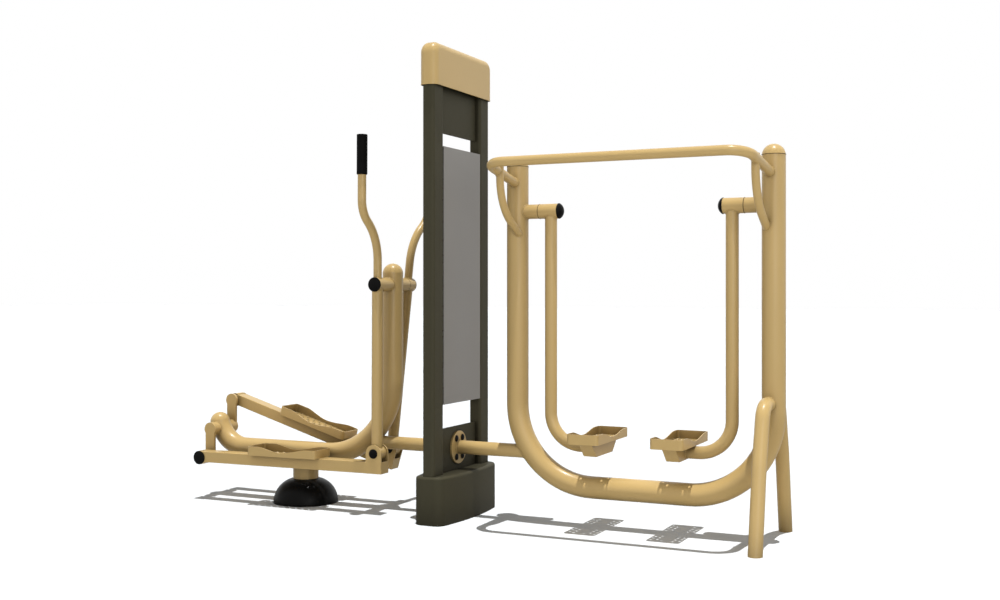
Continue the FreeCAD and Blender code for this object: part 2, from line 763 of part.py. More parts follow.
def trainer_corners():
    reach = TRAINER_REAR_BEND * math.tan(math.radians(TRAINER_REAR_TURN) / 2)
    rear = point(TRAINER_REAR_BEND_START - reach, 0, TRAINER_BOTTOM)
    return [point(TRAINER_POST, 0, TRAINER_POST_SEAM), point(TRAINER_POST, 0, TRAINER_BOTTOM),
            rear, rear + trainer_rear_direction() * (reach + TRAINER_REAR_STRAIGHT)]


def trainer_rod(radius):
    return bent_rod(trainer_corners(), [TRAINER_FRONT_BEND, TRAINER_REAR_BEND], radius)


def lever_housing_rod():
    reach = LANE_INNER - SIDE_CLEARANCE
    return across(TRAINER_POST, LEVER_AXLE_HEIGHT, -reach, reach, AXLE_HOUSING_RADIUS)


def crank_housing_rod():
    reach = CRANK_INNER_FACE - SIDE_CLEARANCE
    return across(CRANK_PLACE, CRANK_HEIGHT, -reach, reach, CRANK_HEAD_RADIUS)


def trainer_frame():
    tube = trainer_rod(FRAME_RADIUS).cut(trainer_rod(FRAME_RADIUS - FRAME_WALL))
    return cut_all(tube, [lever_housing_rod(), crank_housing_rod()])


def lever_axle_housing():
    """Tube through the post whose two end discs hold the lever shaft."""
    reach = LANE_INNER - SIDE_CLEARANCE
    inner = reach - END_DISC_THICKNESS
    bore = AXLE_HOUSING_RADIUS - AXLE_HOUSING_WALL
    hollow = across(TRAINER_POST, LEVER_AXLE_HEIGHT, -inner, inner, bore)
    shaft = across(TRAINER_POST, LEVER_AXLE_HEIGHT, -reach, reach, SHAFT_RADIUS)
    return cut_all(lever_housing_rod(), [hollow, shaft])


def lever_shaft():
    reach = LANE_INNER + LEVER_HUB_LENGTH - SIDE_CLEARANCE
    return across(TRAINER_POST, LEVER_AXLE_HEIGHT, -reach, reach, SHAFT_RADIUS)


def lever_bearings(side):
    axis_point = point(TRAINER_POST, 0, LEVER_AXLE_HEIGHT)
    end = LANE_INNER + LEVER_HUB_LENGTH
    return bearing_pair(LANE_INNER, end, axis_point, Y_AXIS * side)


def crank_housing():
    reach = CRANK_INNER_FACE - SIDE_CLEARANCE
    return crank_housing_rod().cut(across(CRANK_PLACE, CRANK_HEIGHT, -reach, reach, CRANK_HOUSING_BORE))


def crank_bearings():
    """Two bearings in the crank housing. The axle turns inside them."""
    rings = []
    outer_end = CRANK_INNER_FACE - SIDE_CLEARANCE - BEARING_INSET
    for side in (-1, 1):
        start = side * (outer_end - CRANK_BEARING_WIDTH)
        end = side * outer_end
        outer = across(CRANK_PLACE, CRANK_HEIGHT, start, end, CRANK_HOUSING_BORE)
        rings.append(outer.cut(across(CRANK_PLACE, CRANK_HEIGHT, start, end, SHAFT_RADIUS + BEARING_FIT)))
    return Part.makeCompound(rings)


def foot_post():
    """Short post under the low tube, closed beside the tube, on a flange bolted to the ground."""
    start = point(FOOT_PLACE, 0, FOOT_FLANGE_THICKNESS)
    end = point(FOOT_PLACE, 0, TRAINER_BOTTOM)
    hollow = rod(start, end - point(0, 0, FOOT_POST_WALL), FOOT_POST_RADIUS - FOOT_POST_WALL)
    post = rod(start, end, FOOT_POST_RADIUS).cut(hollow)
    return largest(post.cut(trainer_rod(FRAME_RADIUS)))


def foot_flange():
    centre = point(FOOT_PLACE, 0, 0)
    lift = point(0, 0, FOOT_FLANGE_THICKNESS)
    flange = rod(centre, centre + lift, FOOT_FLANGE_RADIUS)
    for index in range(FOOT_BOLT_COUNT):
        angle = math.radians(FOOT_BOLT_ANGLE + 360 * index / FOOT_BOLT_COUNT)
        reach = FOOT_BOLT_CIRCLE / 2
        place = centre + point(reach * math.cos(angle), reach * math.sin(angle), 0)
        flange = flange.cut(rod(place, place + lift, ANCHOR_HOLE_RADIUS))
    return flange


def dome_face(inset):
    """Half section of the foot dome. Its arc passes through a share of its width and height."""
    neck = FOOT_POST_RADIUS + COVER_CLEARANCE
    base = FOOT_DOME_RADIUS - inset
    top = FOOT_DOME_HEIGHT - inset
    rise = top - FOOT_DOME_RIM
    bulge_x = neck + (base - neck) * FOOT_DOME_BULGE_PLACE
    bulge_z = FOOT_DOME_RIM + rise * FOOT_DOME_BULGE_HEIGHT
    arc = Part.Arc(point(base, 0, FOOT_DOME_RIM), point(bulge_x, 0, bulge_z), point(neck, 0, top))
    edges = [Part.LineSegment(point(neck, 0, 0), point(base, 0, 0)).toShape()]
    edges += [Part.LineSegment(point(base, 0, 0), point(base, 0, FOOT_DOME_RIM)).toShape()]
    edges += [arc.toShape(), Part.LineSegment(point(neck, 0, top), point(neck, 0, 0)).toShape()]
    return Part.Face(Part.Wire(edges))


def foot_dome():
    outer = dome_face(0).revolve(point(0, 0, 0), Z_AXIS, 360)
    inner = dome_face(FOOT_DOME_WALL).revolve(point(0, 0, 0), Z_AXIS, 360)
    dome = outer.cut(inner)
    dome.translate(point(FOOT_PLACE, 0, 0))
    return dome


# Crank


def crank_axle():
    return across(CRANK_PLACE, CRANK_HEIGHT, -CRANK_BORE_END, CRANK_BORE_END, SHAFT_RADIUS)


def crank_pin_height(values):
    return CRANK_HEIGHT + values["crank_up"] * CRANK_THROW


def crank_arm(values):
    """Flat arm with a round head at each end, a boss and the pin that carries a foot beam."""
    side = values["side"]
    pin_height = crank_pin_height(values)
    inner = side * CRANK_INNER_FACE
    outer = side * CRANK_OUTER_FACE
    beam_inner = side * (LANE_PLACE - BEAM_WIDTH / 2)
    beam_outer = side * (LANE_PLACE + BEAM_WIDTH / 2)
    boss_end = beam_inner - side * SIDE_CLEARANCE
    pin_end = beam_outer - side * SIDE_CLEARANCE
    half = CRANK_ARM_WIDTH / 2
    low = point(CRANK_PLACE - half, min(inner, outer), min(CRANK_HEIGHT, pin_height))
    high = point(CRANK_PLACE + half, max(inner, outer), max(CRANK_HEIGHT, pin_height))
    arm = fuse_all([
        block(low, high),
        across(CRANK_PLACE, CRANK_HEIGHT, inner, outer, CRANK_HEAD_RADIUS),
        across(CRANK_PLACE, pin_height, inner, outer, CRANK_HEAD_RADIUS),
        across(CRANK_PLACE, pin_height, outer, boss_end, CRANK_BOSS_RADIUS),
        across(CRANK_PLACE, pin_height, outer, pin_end, SHAFT_RADIUS),
    ])
    return arm.cut(across(CRANK_PLACE, CRANK_HEIGHT, inner, side * CRANK_BORE_END, SHAFT_RADIUS))


def crank_pin_bearings():
    rings = []
    for values in SIDES.values():
        axis_point = point(CRANK_PLACE, 0, crank_pin_height(values))
        start = LANE_PLACE - BEAM_WIDTH / 2
        end = LANE_PLACE + BEAM_WIDTH / 2
        direction = Y_AXIS * values["side"]
        rings += bearing_pair(start, end, axis_point, direction)
    return Part.makeCompound(rings)


# Levers, made upright over the origin of the axle and then leaned


def lean_lever(shape, values):
    shape.translate(point(TRAINER_POST, 0, LEVER_AXLE_HEIGHT))
    return tilted(shape, TRAINER_POST, LEVER_AXLE_HEIGHT, values["lean"])


def lever(values):
    """Pivot hub, long tube and the wide hub at its lower end, welded together."""
    side = values["side"]
    bottom = -values["lever_length"]
    lane = side * LANE_PLACE
    start = side * LANE_INNER
    end = side * (LANE_INNER + LEVER_HUB_LENGTH)
    hub = across(0, 0, start, end, HUB_RADIUS)
    foot = across(0, bottom, start, end, LEVER_END_RADIUS)
    tube = ring(point(0, lane, 0), point(0, lane, bottom), LEVER_RADIUS, LEVER_RADIUS - LEVER_WALL)
    tube = largest(tube.cut(hub).cut(foot))
    whole = fuse_all([hub, tube, foot])
    bores = [across(0, 0, start, end, BEARING_BORE), across(0, bottom, start, end, LEVER_END_BORE)]
    return lean_lever(cut_all(whole, bores), values)


def handle_tube(values):
    side = values["side"]
    lane = side * LANE_PLACE
    wide = side * (LANE_PLACE + HANDLE_SPREAD)
    corners = [point(0, lane, 0), point(0, lane, HANDLE_LOWER_TURN), point(0, wide, HANDLE_UPPER_TURN),
               point(0, wide, HANDLE_TOP)]
    tube = bent_tube(corners, [HANDLE_LOWER_BEND, HANDLE_UPPER_BEND], HANDLE_RADIUS, HANDLE_WALL)
    hub = across(0, 0, lane - LANE_PLACE, lane + LANE_PLACE, HUB_RADIUS)
    return lean_lever(largest(tube.cut(hub)), values)


def grip(values):
    wide = values["side"] * (LANE_PLACE + HANDLE_SPREAD)
    sleeve = rod(point(0, wide, GRIP_BOTTOM), point(0, wide, GRIP_TOP), GRIP_RADIUS)
    sleeve = sleeve.makeFillet(GRIP_EDGE, sleeve.Edges)
    bore = rod(point(0, wide, GRIP_BOTTOM), point(0, wide, HANDLE_TOP), HANDLE_RADIUS)
    return lean_lever(sleeve.cut(bore), values)


def lever_cap(values):
    side = values["side"]
    base = point(0, side * (LANE_INNER + LEVER_HUB_LENGTH), 0)
    return lean_lever(domed_disc(base, Y_AXIS * side, HUB_RADIUS, HUB_CAP_RIM, HUB_CAP_CROWN), values)


# Foot beams, made level with the rear pin at the origin and then tilted


def beam_span(values):
    """Length along the beam from its rear pin to its front pivot, and the beam's tilt."""
    lean = math.radians(values["lean"])
    pivot_x = TRAINER_POST - values["lever_length"] * math.sin(lean)
    pivot_z = LEVER_AXLE_HEIGHT - values["lever_length"] * math.cos(lean)
    run = pivot_x - CRANK_PLACE
    rise = pivot_z - crank_pin_height(values)
    length = math.sqrt(run ** 2 + rise ** 2 - BEAM_PIN_TO_PIVOT ** 2)
    tilt = math.degrees(math.atan2(BEAM_PIN_TO_PIVOT, length) - math.atan2(rise, run))
    return length, tilt


def place_beam(shape, values):
    pin_height = crank_pin_height(values)
    shape.translate(point(CRANK_PLACE, 0, pin_height))
    return tilted(shape, CRANK_PLACE, pin_height, beam_span(values)[1])


def ear(start, end, length):
    """Upright plate with a round top about the front pivot."""
    bottom = BEAM_PIN_TO_PIVOT - BEAM_TOP_TO_PIVOT - BEAM_HEIGHT
    low = point(length - EAR_RADIUS, min(start, end), bottom)
    high = point(length + EAR_RADIUS, max(start, end), BEAM_PIN_TO_PIVOT)
    return block(low, high).fuse(across(length, BEAM_PIN_TO_PIVOT, start, end, EAR_RADIUS))


def foot_beam(values):
    """Box tube with a round hub at its rear and two ears at its front."""
    side = values["side"]
    length = beam_span(values)[0]
    top = BEAM_PIN_TO_PIVOT - BEAM_TOP_TO_PIVOT
    bottom = top - BEAM_HEIGHT
    inner = LANE_PLACE - BEAM_WIDTH / 2
    outer = LANE_PLACE + BEAM_WIDTH / 2
    low_y, high_y = sorted((side * inner, side * outer))
    front = length + EAR_RADIUS
    wall = BEAM_WALL
    box = round_along(block(point(0, low_y, bottom), point(front, high_y, top)), X_AXIS, BEAM_CORNER)
    hollow = block(point(0, low_y + wall, bottom + wall), point(front - wall, high_y - wall, top - wall))
    hub = across(0, 0, low_y, high_y, HUB_RADIUS)
    tube = largest(box.cut(hollow).cut(hub))
    ears = [ear(low_y, low_y + EAR_THICKNESS, length), ear(high_y - EAR_THICKNESS, high_y, length)]
    pocket = block(point(length - EAR_POCKET_RADIUS, low_y + EAR_THICKNESS, bottom + wall),
                   point(front - wall, high_y - EAR_THICKNESS, BEAM_PIN_TO_PIVOT))
    pin = across(length, BEAM_PIN_TO_PIVOT, low_y, high_y, CLEVIS_PIN_RADIUS)
    bore = across(0, 0, low_y, high_y, BEARING_BORE)
    beam = cut_all(fuse_all([tube, hub] + ears), [pocket, pin, bore])
    return place_beam(beam, values)


def beam_tray(values):
    tray = foot_tray()
    top = BEAM_PIN_TO_PIVOT - BEAM_TOP_TO_PIVOT
    tray.translate(point(values["tray_place"], values["side"] * LANE_PLACE, top))
    return place_beam(tray, values)


def clevis_pin(values):
    length = beam_span(values)[0]
    side = values["side"]
    inner = side * (LANE_PLACE - BEAM_WIDTH / 2)
    outer = side * (LANE_PLACE + BEAM_WIDTH / 2)
    return place_beam(across(length, BEAM_PIN_TO_PIVOT, inner, outer, CLEVIS_PIN_RADIUS), values)


def beam_caps(values):
    """Plastic caps over the rear hub and over both ends of the clevis pin."""
    length = beam_span(values)[0]
    side = values["side"]
    inner = side * (LANE_PLACE - BEAM_WIDTH / 2)
    outer = side * (LANE_PLACE + BEAM_WIDTH / 2)
    outward = Y_AXIS * side
    caps = [domed_disc(point(0, outer, 0), outward, HUB_RADIUS, HUB_CAP_RIM, HUB_CAP_CROWN)]
    pivot_outer = point(length, outer, BEAM_PIN_TO_PIVOT)
    pivot_inner = point(length, inner, BEAM_PIN_TO_PIVOT)
    caps.append(domed_disc(pivot_outer, outward, CLEVIS_CAP_RADIUS, HUB_CAP_RIM, HUB_CAP_CROWN))
    caps.append(domed_disc(pivot_inner, outward * -1, CLEVIS_CAP_RADIUS, HUB_CAP_RIM, HUB_CAP_CROWN))
    return place_beam(Part.makeCompound(caps), values)


def pillar_parts():
    return {
        "base_plate": base_plate(),
        "plinth_cover": plinth_cover(),
        "front_upright": upright(-1),
        "rear_upright": upright(1),
        "header_plate": header_plate(),
        "lower_plate": lower_plate(),
        "panel_frame": panel_frame(),
        "sign_sheets": sign_sheets(),
        "pillar_cap": pillar_cap(),
        "link_flanges": link_flanges(),
        "flange_bolts": flange_bolts(),
        "left_link_tube": link_tube(-1, trainer_rod(FRAME_RADIUS), FOOT_PLACE),
        "right_link_tube": link_tube(1, walker_rod(FRAME_RADIUS), WALKER_MIDDLE),
        "post_domes": post_domes(),
    }


def walker_parts():
    right_post = mirrored_right_post()
    parts = {
        "walker_frame": walker_rod(FRAME_RADIUS).cut(walker_rod(FRAME_RADIUS - FRAME_WALL)),
        "handrail": handrail(),
        "handrail_braces": handrail_braces(),
        "front_support_leg": support_leg(-1),
        "rear_support_leg": support_leg(1),
        "pivot_stubs": Part.makeCompound([pivot_stub(WALKER_LEFT), swing_mirror(pivot_stub(right_post))]),
        "pivot_shafts": Part.makeCompound([pivot_shaft(WALKER_LEFT), swing_mirror(pivot_shaft(right_post))]),
    }
    swinging = {
        "swing_hub": swing_hub(),
        "swing_hub_cap": swing_hub_cap(),
        "swing_leg": swing_leg(),
        "pedal_bracket": pedal_bracket(),
        "pedal_tray": walker_tray(),
    }
    for name, shape in swinging.items():
        parts["left_" + name] = shape
        parts["right_" + name] = swing_mirror(shape)
    bearings = swing_bearings()
    bearings += [swing_mirror(bearing) for bearing in bearings]
    for values in SIDES.values():
        bearings += lever_bearings(values["side"])
    parts["pivot_bearings"] = Part.makeCompound(bearings)
    return parts


def trainer_parts():
    parts = {
        "trainer_frame": trainer_frame(),
        "foot_post": foot_post(),
        "foot_flange": foot_flange(),
        "foot_dome": foot_dome(),
        "lever_axle_housing": lever_axle_housing(),
        "lever_shaft": lever_shaft(),
        "crank_housing": crank_housing(),
        "crank_bearings": crank_bearings(),
        "crank_axle": crank_axle(),
        "crank_pin_bearings": crank_pin_bearings(),
    }
    for name, values in SIDES.items():
        parts[name + "_crank_arm"] = crank_arm(values)
        parts[name + "_lever"] = lever(values)
        parts[name + "_handle_tube"] = handle_tube(values)
        parts[name + "_grip"] = grip(values)
        parts[name + "_lever_cap"] = lever_cap(values)
        parts[name + "_foot_beam"] = foot_beam(values)
        parts[name + "_beam_tray"] = beam_tray(values)
        parts[name + "_clevis_pin"] = clevis_pin(values)
        parts[name + "_beam_caps"] = beam_caps(values)
    return parts


def main():
    os.makedirs("parts", exist_ok=True)
    parts = {}
    parts.update(pillar_parts())
    parts.update(walker_parts())
    parts.update(trainer_parts())
    for name, shape in parts.items():
        if not shape.isValid():
            print("not valid:", name)
        shape.exportStep("parts/" + name + ".step")
        box = shape.optimalBoundingBox(False)
        print(name, "solids", len(shape.Solids), "volume", round(shape.Volume / 1000, 1), "cm3",
              "x", round(box.XMin), round(box.XMax), "y", round(box.YMin), round(box.YMax),
              "z", round(box.ZMin), round(box.ZMax))


main()
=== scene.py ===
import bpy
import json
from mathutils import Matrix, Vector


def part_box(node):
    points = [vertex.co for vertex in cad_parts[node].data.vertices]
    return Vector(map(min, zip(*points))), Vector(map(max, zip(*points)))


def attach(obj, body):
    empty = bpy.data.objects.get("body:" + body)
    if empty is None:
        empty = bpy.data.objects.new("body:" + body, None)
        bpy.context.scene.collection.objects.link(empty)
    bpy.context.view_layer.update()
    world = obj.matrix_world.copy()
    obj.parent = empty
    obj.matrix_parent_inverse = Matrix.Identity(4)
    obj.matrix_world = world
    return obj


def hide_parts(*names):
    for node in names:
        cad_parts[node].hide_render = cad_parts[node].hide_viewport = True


bl_info = {
    "name": "Outdoor Exercise Station",
    "version": (1, 0, 0),
    "blender": (4, 5, 0),
    "location": "View3D > Sidebar > Station",
    "description": "Finishes, welds, treads, caps and stage of an outdoor air walker and cross trainer",
    "category": "Object",
}

import json
import math

import bmesh
import bpy
from mathutils import Matrix, Quaternion, Vector
from mathutils.bvhtree import BVHTree

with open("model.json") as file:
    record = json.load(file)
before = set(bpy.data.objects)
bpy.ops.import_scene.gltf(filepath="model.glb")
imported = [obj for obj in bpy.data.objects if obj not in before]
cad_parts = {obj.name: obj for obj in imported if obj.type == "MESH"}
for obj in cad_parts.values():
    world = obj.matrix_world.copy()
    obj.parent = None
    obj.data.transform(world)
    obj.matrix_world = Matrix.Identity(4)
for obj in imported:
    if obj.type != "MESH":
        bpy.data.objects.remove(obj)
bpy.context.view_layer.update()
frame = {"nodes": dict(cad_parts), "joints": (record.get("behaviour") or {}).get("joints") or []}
NODES = frame["nodes"]
PIVOTS = {joint["name"]: Vector(joint["pos_m"]) for joint in frame["joints"]}


def middle(node):
    """Middle of a CAD node's box."""
    low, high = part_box(node)
    return (Vector(low) + Vector(high)) / 2


def half_size(node):
    """Half the length, depth and height of a CAD node's box."""
    low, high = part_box(node)
    return (Vector(high) - Vector(low)) / 2


X_AXIS = Vector((1, 0, 0))
Y_AXIS = Vector((0, 1, 0))
Z_AXIS = Vector((0, 0, 1))

# Names of the finishes
BEIGE_COAT = "Beige powder coat"
OLIVE_COAT = "Olive powder coat"
SHEET_PAINT = "Sign sheet paint"
BLACK_PLASTIC = "Black cap plastic"
GRIP_FOAM = "Black grip foam"
# Dark beads in the seams: painted shade
SEAM_SHADE = "Painted seam shade"
BARE_STEEL = "Bare steel"

PAINTED_NODES = {
    BEIGE_COAT: (
        "left_link_tube", "right_link_tube", "link_flanges", "pillar_cap", "post_domes", "walker_frame",
        "handrail", "handrail_braces", "front_support_leg", "rear_support_leg", "pivot_stubs",
        "left_swing_hub", "right_swing_hub", "left_swing_leg", "right_swing_leg",
        "left_pedal_bracket", "right_pedal_bracket", "left_pedal_tray", "right_pedal_tray",
        "trainer_frame", "foot_post", "lever_axle_housing", "crank_housing",
        "near_crank_arm", "far_crank_arm", "near_lever", "far_lever", "near_handle_tube", "far_handle_tube",
        "near_foot_beam", "far_foot_beam", "near_beam_tray", "far_beam_tray",
    ),
    OLIVE_COAT: ("front_upright", "rear_upright", "header_plate", "lower_plate", "plinth_cover"),
    SHEET_PAINT: ("sign_sheets",),
    BLACK_PLASTIC: (
        "foot_dome", "flange_bolts", "near_lever_cap", "far_lever_cap", "near_beam_caps", "far_beam_caps",
        "left_swing_hub_cap", "right_swing_hub_cap",
    ),
    GRIP_FOAM: ("near_grip", "far_grip"),
    BARE_STEEL: (
        "base_plate", "foot_flange", "panel_frame", "pivot_shafts", "pivot_bearings", "lever_shaft",
        "crank_bearings", "crank_axle", "crank_pin_bearings", "near_clevis_pin", "far_clevis_pin",
    ),
}

# Foot trays and the bodies that they move with
TRAYS = {
    "left_pedal_tray": "left_swing",
    "right_pedal_tray": "right_swing",
    "near_beam_tray": "near_beam",
    "far_beam_tray": "far_beam",
}

# Black caps, the bodies that they move with and the axes that they are turned about
CAPS = {
    "left_swing_hub_cap": ("left_swing", X_AXIS),
    "right_swing_hub_cap": ("right_swing", X_AXIS),
    "near_lever_cap": ("near_lever_set", Y_AXIS),
    "far_lever_cap": ("far_lever_set", Y_AXIS),
    "near_beam_caps": ("near_beam", Y_AXIS),
    "far_beam_caps": ("far_beam", Y_AXIS),
}

# Posts of the frames, in metres like every length here
FRAME_RADIUS = half_size("walker_frame").y
LEFT_POST = middle("walker_frame").x - half_size("walker_frame").x + FRAME_RADIUS
RIGHT_POST = middle("walker_frame").x + half_size("walker_frame").x - FRAME_RADIUS
TRAINER_POST = middle("trainer_frame").x + half_size("trainer_frame").x - FRAME_RADIUS
LEG_PLACE = middle("front_support_leg").x

# Radii of the tubes and housings that are welded on
STUB_RADIUS = 0.030
RAIL_RADIUS = 0.019
BRACE_RADIUS = 0.0155
LEG_RADIUS = 0.027
CRANK_RADIUS = 0.031
AXLE_RADIUS = 0.030
LEVER_RADIUS = 0.024
HANDLE_RADIUS = 0.018

# Places beside a post of the walker: inward from its axis, depth and height
RAIL_BEND = (0.018, -0.345, 1.455)
RAIL_ROOT = (0.005, -0.045, 1.401)
BRACE_TURN = (0.019, -0.213, 1.293)
BRACE_ROOT = (0.019, 0, 1.174)

# Depth and height of a support leg's shoulder, and the height on the frame that it points to
LEG_SHOULDER = (0.085, 0.531)
LEG_ROOT = 0.526

# Starts of the outlines that are cast along a tube to find its weld.
# The stub's is measured from its post, the crank's and the axle's from the middle plane, the brace's
# and the swing's from the ground, the bracket's from its side and the others from their pivot.
# The rail's and the brace's shares are of the way to their roots.
STUB_START = 0.085
RAIL_SHARE = 0.6
BRACE_SHARE = 0.7
BRACE_TOP_START = 1.395
CRANK_START = 0.068
AXLE_START = 0.09
SWING_START = 1.15
BRACKET_START = 0.035
UPPER_HUB_START = 0.12
LOWER_HUB_START = 0.6
HANDLE_START = -0.09
REAR_HUB_START = 0.12

# Trays on their beams and brackets
TRAY_FLOOR = 0.003
TRAY_BEAD_DEPTH = 0.0034
BRACKET_BEAD_DEPTH = 0.0006
BEAM_TRAY_HALF = 0.166
BEAM_HALF_HEIGHT = 0.025
BEAM_OUTLINE_HALF_HEIGHT = 0.0252
BEAM_OUTLINE_WIDTH_SHARE = 0.98

# Beads, seams and the pillar cap's rim
BEAD_CLEARANCE = 0.0004
DOME_SEAM_SINK = 0.2
HUB_SEAM_SINK = 0.4
HUB_GAP_MIDDLE = 0.00025
CAP_CORNER = 0.030
CORNER_STEPS = 12
MERGE_DISTANCE = 1e-6
SHARP_ANGLE = math.radians(38)

# Tread collars: lean of the inner wall, and shoulder and crest as shares of height and width
COLLAR_LEAN = 0.0003
COLLAR_SHOULDER = 0.8
COLLAR_CREST = 0.3

# Covers of the flange bolts
COVER_RIM = 0.004
SHANK_RADIUS = 0.0069
PAINT_RING_RADIUS = 0.0011

# Half sections of the foot dome's rim and neck lip, as steps out and up from the edge that they sit on
DOME_RIM = ((-0.002, 0.0002), (0.0012, 0.0002), (0.0018, 0.002), (0.0012, 0.0042), (-0.002, 0.0052))
NECK_LIP = ((0, -0.006), (0.0045, -0.0052), (0.0042, -0.0008), (0.0022, 0.0004), (0, -0.0002))
NECK_CLEARANCE = 0.0005

# Half section of a screw head, as shares of its radius and heights over the dome
SCREW_HEAD = (
    (0, -0.001), (1, -0.001), (1, 0.0008), (0.8, 0.0021), (0.45, 0.0027), (0.42, 0.0012), (0, 0.001),
)

# Distance from the dome's middle and turn in degrees of each screw
SCREW_PLACES = ((0.0875, -64.6), (0.111, -47.6), (0.0875, 115.4), (0.111, 132.4))

# Camera, floor and sky: the sky dims between two heights of its half ball
SENSOR_WIDTH = 36.0
FLOOR_HALF = 60.0
FLOOR_SEEN = (0.94, 0.975, 1.0)
FLOOR_BOUNCE = (0.44, 0.44, 0.44)
SKY_HEIGHTS = (0.05, 0.6)


# Settings that a user would change


class FinishSettings(bpy.types.PropertyGroup):
    """Colours and gloss of the station's finishes."""

    beige: bpy.props.FloatVectorProperty(
        name="Beige coat", description="Powder coat of the tubes and trays", subtype="COLOR",
        size=3, min=0, max=1, default=(0.69, 0.48, 0.192))
    olive: bpy.props.FloatVectorProperty(
        name="Olive coat", description="Powder coat of the sign pillar", subtype="COLOR",
        size=3, min=0, max=1, default=(0.073, 0.067, 0.041))
    sheet: bpy.props.FloatVectorProperty(
        name="Sign sheet", description="Paint of the blank sign sheets", subtype="COLOR",
        size=3, min=0, max=1, default=(0.31, 0.297, 0.278))
    black: bpy.props.FloatVectorProperty(
        name="Black plastic", description="Moulded caps, foot dome and grips", subtype="COLOR",
        size=3, min=0, max=1, default=(0.0055, 0.0053, 0.005))
    # Painted seam shade: colour of the dark beads in the seams
    seam_shade: bpy.props.FloatVectorProperty(
        name="Painted seam shade", description="Dark beads in the walker's seams, as painted shade", subtype="COLOR",
        size=3, min=0, max=1, default=(0.07, 0.042, 0.016))
    steel: bpy.props.FloatVectorProperty(
        name="Bare steel", description="Shafts, bearings, pins and screws", subtype="COLOR",
        size=3, min=0, max=1, default=(0.46, 0.45, 0.43))


class DetailSettings(bpy.types.PropertyGroup):
    """Sizes of the small pieces that are added to the frame."""

    weld: bpy.props.FloatProperty(
        name="Weld bead", description="Radius of the bead between two tubes", unit="LENGTH",
        min=0.001, max=0.01, default=0.0026)
    seam: bpy.props.FloatProperty(
        name="Seam", description="Radius of the dark bead in the seam under a post's dome", unit="LENGTH",
        min=0.0003, max=0.003, default=0.0013)
    rim: bpy.props.FloatProperty(
        name="Cap rim", description="Radius of the rolled rim of the pillar's cap", unit="LENGTH",
        min=0.0005, max=0.005, default=0.0016)
    hole_radius: bpy.props.FloatProperty(
        name="Drain hole", description="Radius of a tray's drain hole", unit="LENGTH",
        min=0.002, max=0.01, default=0.005)
    hole_pitch: bpy.props.FloatProperty(
        name="Hole pitch", description="Distance between holes along a tray", unit="LENGTH",
        min=0.015, max=0.06, default=0.033)
    hole_count: bpy.props.IntProperty(
        name="Holes in a line", description="Holes in the first line along a tray", min=2, max=20, default=10)
    line_pitch: bpy.props.FloatProperty(
        name="Line pitch", description="Distance between the lines of holes", unit="LENGTH",
        min=0.015, max=0.06, default=0.022)
    line_count: bpy.props.IntProperty(
        name="Lines of holes", description="Lines of holes across a tray", min=1, max=10, default=6)
    collar_height: bpy.props.FloatProperty(
        name="Tread collar height", description="Height of the raised collar round a tray's hole",
        unit="LENGTH", min=0.0005, max=0.006, default=0.0028)
    collar_width: bpy.props.FloatProperty(
        name="Tread collar width", description="Width of the raised collar round a tray's hole",
        unit="LENGTH", min=0.001, max=0.01, default=0.0042)
    cap_edge: bpy.props.FloatProperty(
        name="Cap edge", description="Round on the rim of a black cap", unit="LENGTH",
        min=0.0002, max=0.002, default=0.0009)
    screw_radius: bpy.props.FloatProperty(
        name="Cover screw", description="Radius of a screw head on the foot dome", unit="LENGTH",
        min=0.002, max=0.01, default=0.0038)


class StageSettings(bpy.types.PropertyGroup):
    """Camera and light."""

    camera_place: bpy.props.FloatVectorProperty(
        name="Camera place", description="Where the camera stands", subtype="TRANSLATION", unit="LENGTH",
        size=3, default=(2.3555, -4.5391, 0.9536))
    camera_turn: bpy.props.FloatProperty(
        name="Camera turn", description="Turn of the level camera about the vertical", subtype="ANGLE",
        default=math.radians(25.37))
    lens: bpy.props.FloatProperty(
        name="Lens", description="Focal length on a 36 mm sensor", subtype="DISTANCE_CAMERA",
        default=43.19)
    horizon_shift: bpy.props.FloatProperty(
        name="Horizon shift", description="Vertical shift of the lens, as a share of the picture's width",
        default=-0.00881)
    sun: bpy.props.FloatProperty(
        name="Sun", description="Strength of the light from above", min=0, default=2.85)
    sun_angle: bpy.props.FloatProperty(
        name="Sun's width", description="Width of the sun, which softens its shadows", subtype="ANGLE",
        min=0, default=math.radians(0.15))
    toward_sun: bpy.props.FloatVectorProperty(
        name="Toward the sun", description="Direction from the station to the sun", subtype="DIRECTION",
        size=3, default=(0.062, -0.062, 0.996))
    horizon: bpy.props.FloatProperty(
        name="Horizon", description="Strength of the even light from the sides", min=0, default=1.0)
    sky: bpy.props.FloatProperty(
        name="Sky", description="Strength of the even light from straight above", min=0, default=0.1)
    front_lamp: bpy.props.FloatProperty(
        name="Front lamp", description="Power of the large soft lamp beside the camera", unit="POWER",
        min=0, default=50.0)
    lamp_size: bpy.props.FloatProperty(
        name="Lamp size", description="Side of the front lamp", unit="LENGTH", min=0.1, default=2.5)
    lamp_place: bpy.props.FloatVectorProperty(
        name="Lamp place", description="Where the front lamp stands", subtype="TRANSLATION",
        unit="LENGTH", size=3, default=(3.6, -4.4, 1.7))
    lamp_target: bpy.props.FloatVectorProperty(
        name="Lamp target", description="Where the front lamp points", subtype="TRANSLATION",
        unit="LENGTH", size=3, default=(0.1, 0, 0.9))


# Finishes


def start_material(name, color, roughness, metallic=0.0, coat=0.0):
    """A new material with its Principled shader's plain values set."""
    material = bpy.data.materials.new(name)
    material.use_nodes = True
    shader = material.node_tree.nodes["Principled BSDF"]
    shader.inputs["Base Color"].default_value = (*color, 1)
    shader.inputs["Roughness"].default_value = roughness
    shader.inputs["Metallic"].default_value = metallic
    shader.inputs["Coat Weight"].default_value = coat
    shader.inputs["Coat Roughness"].default_value = 0.12
    return material, material.node_tree, shader


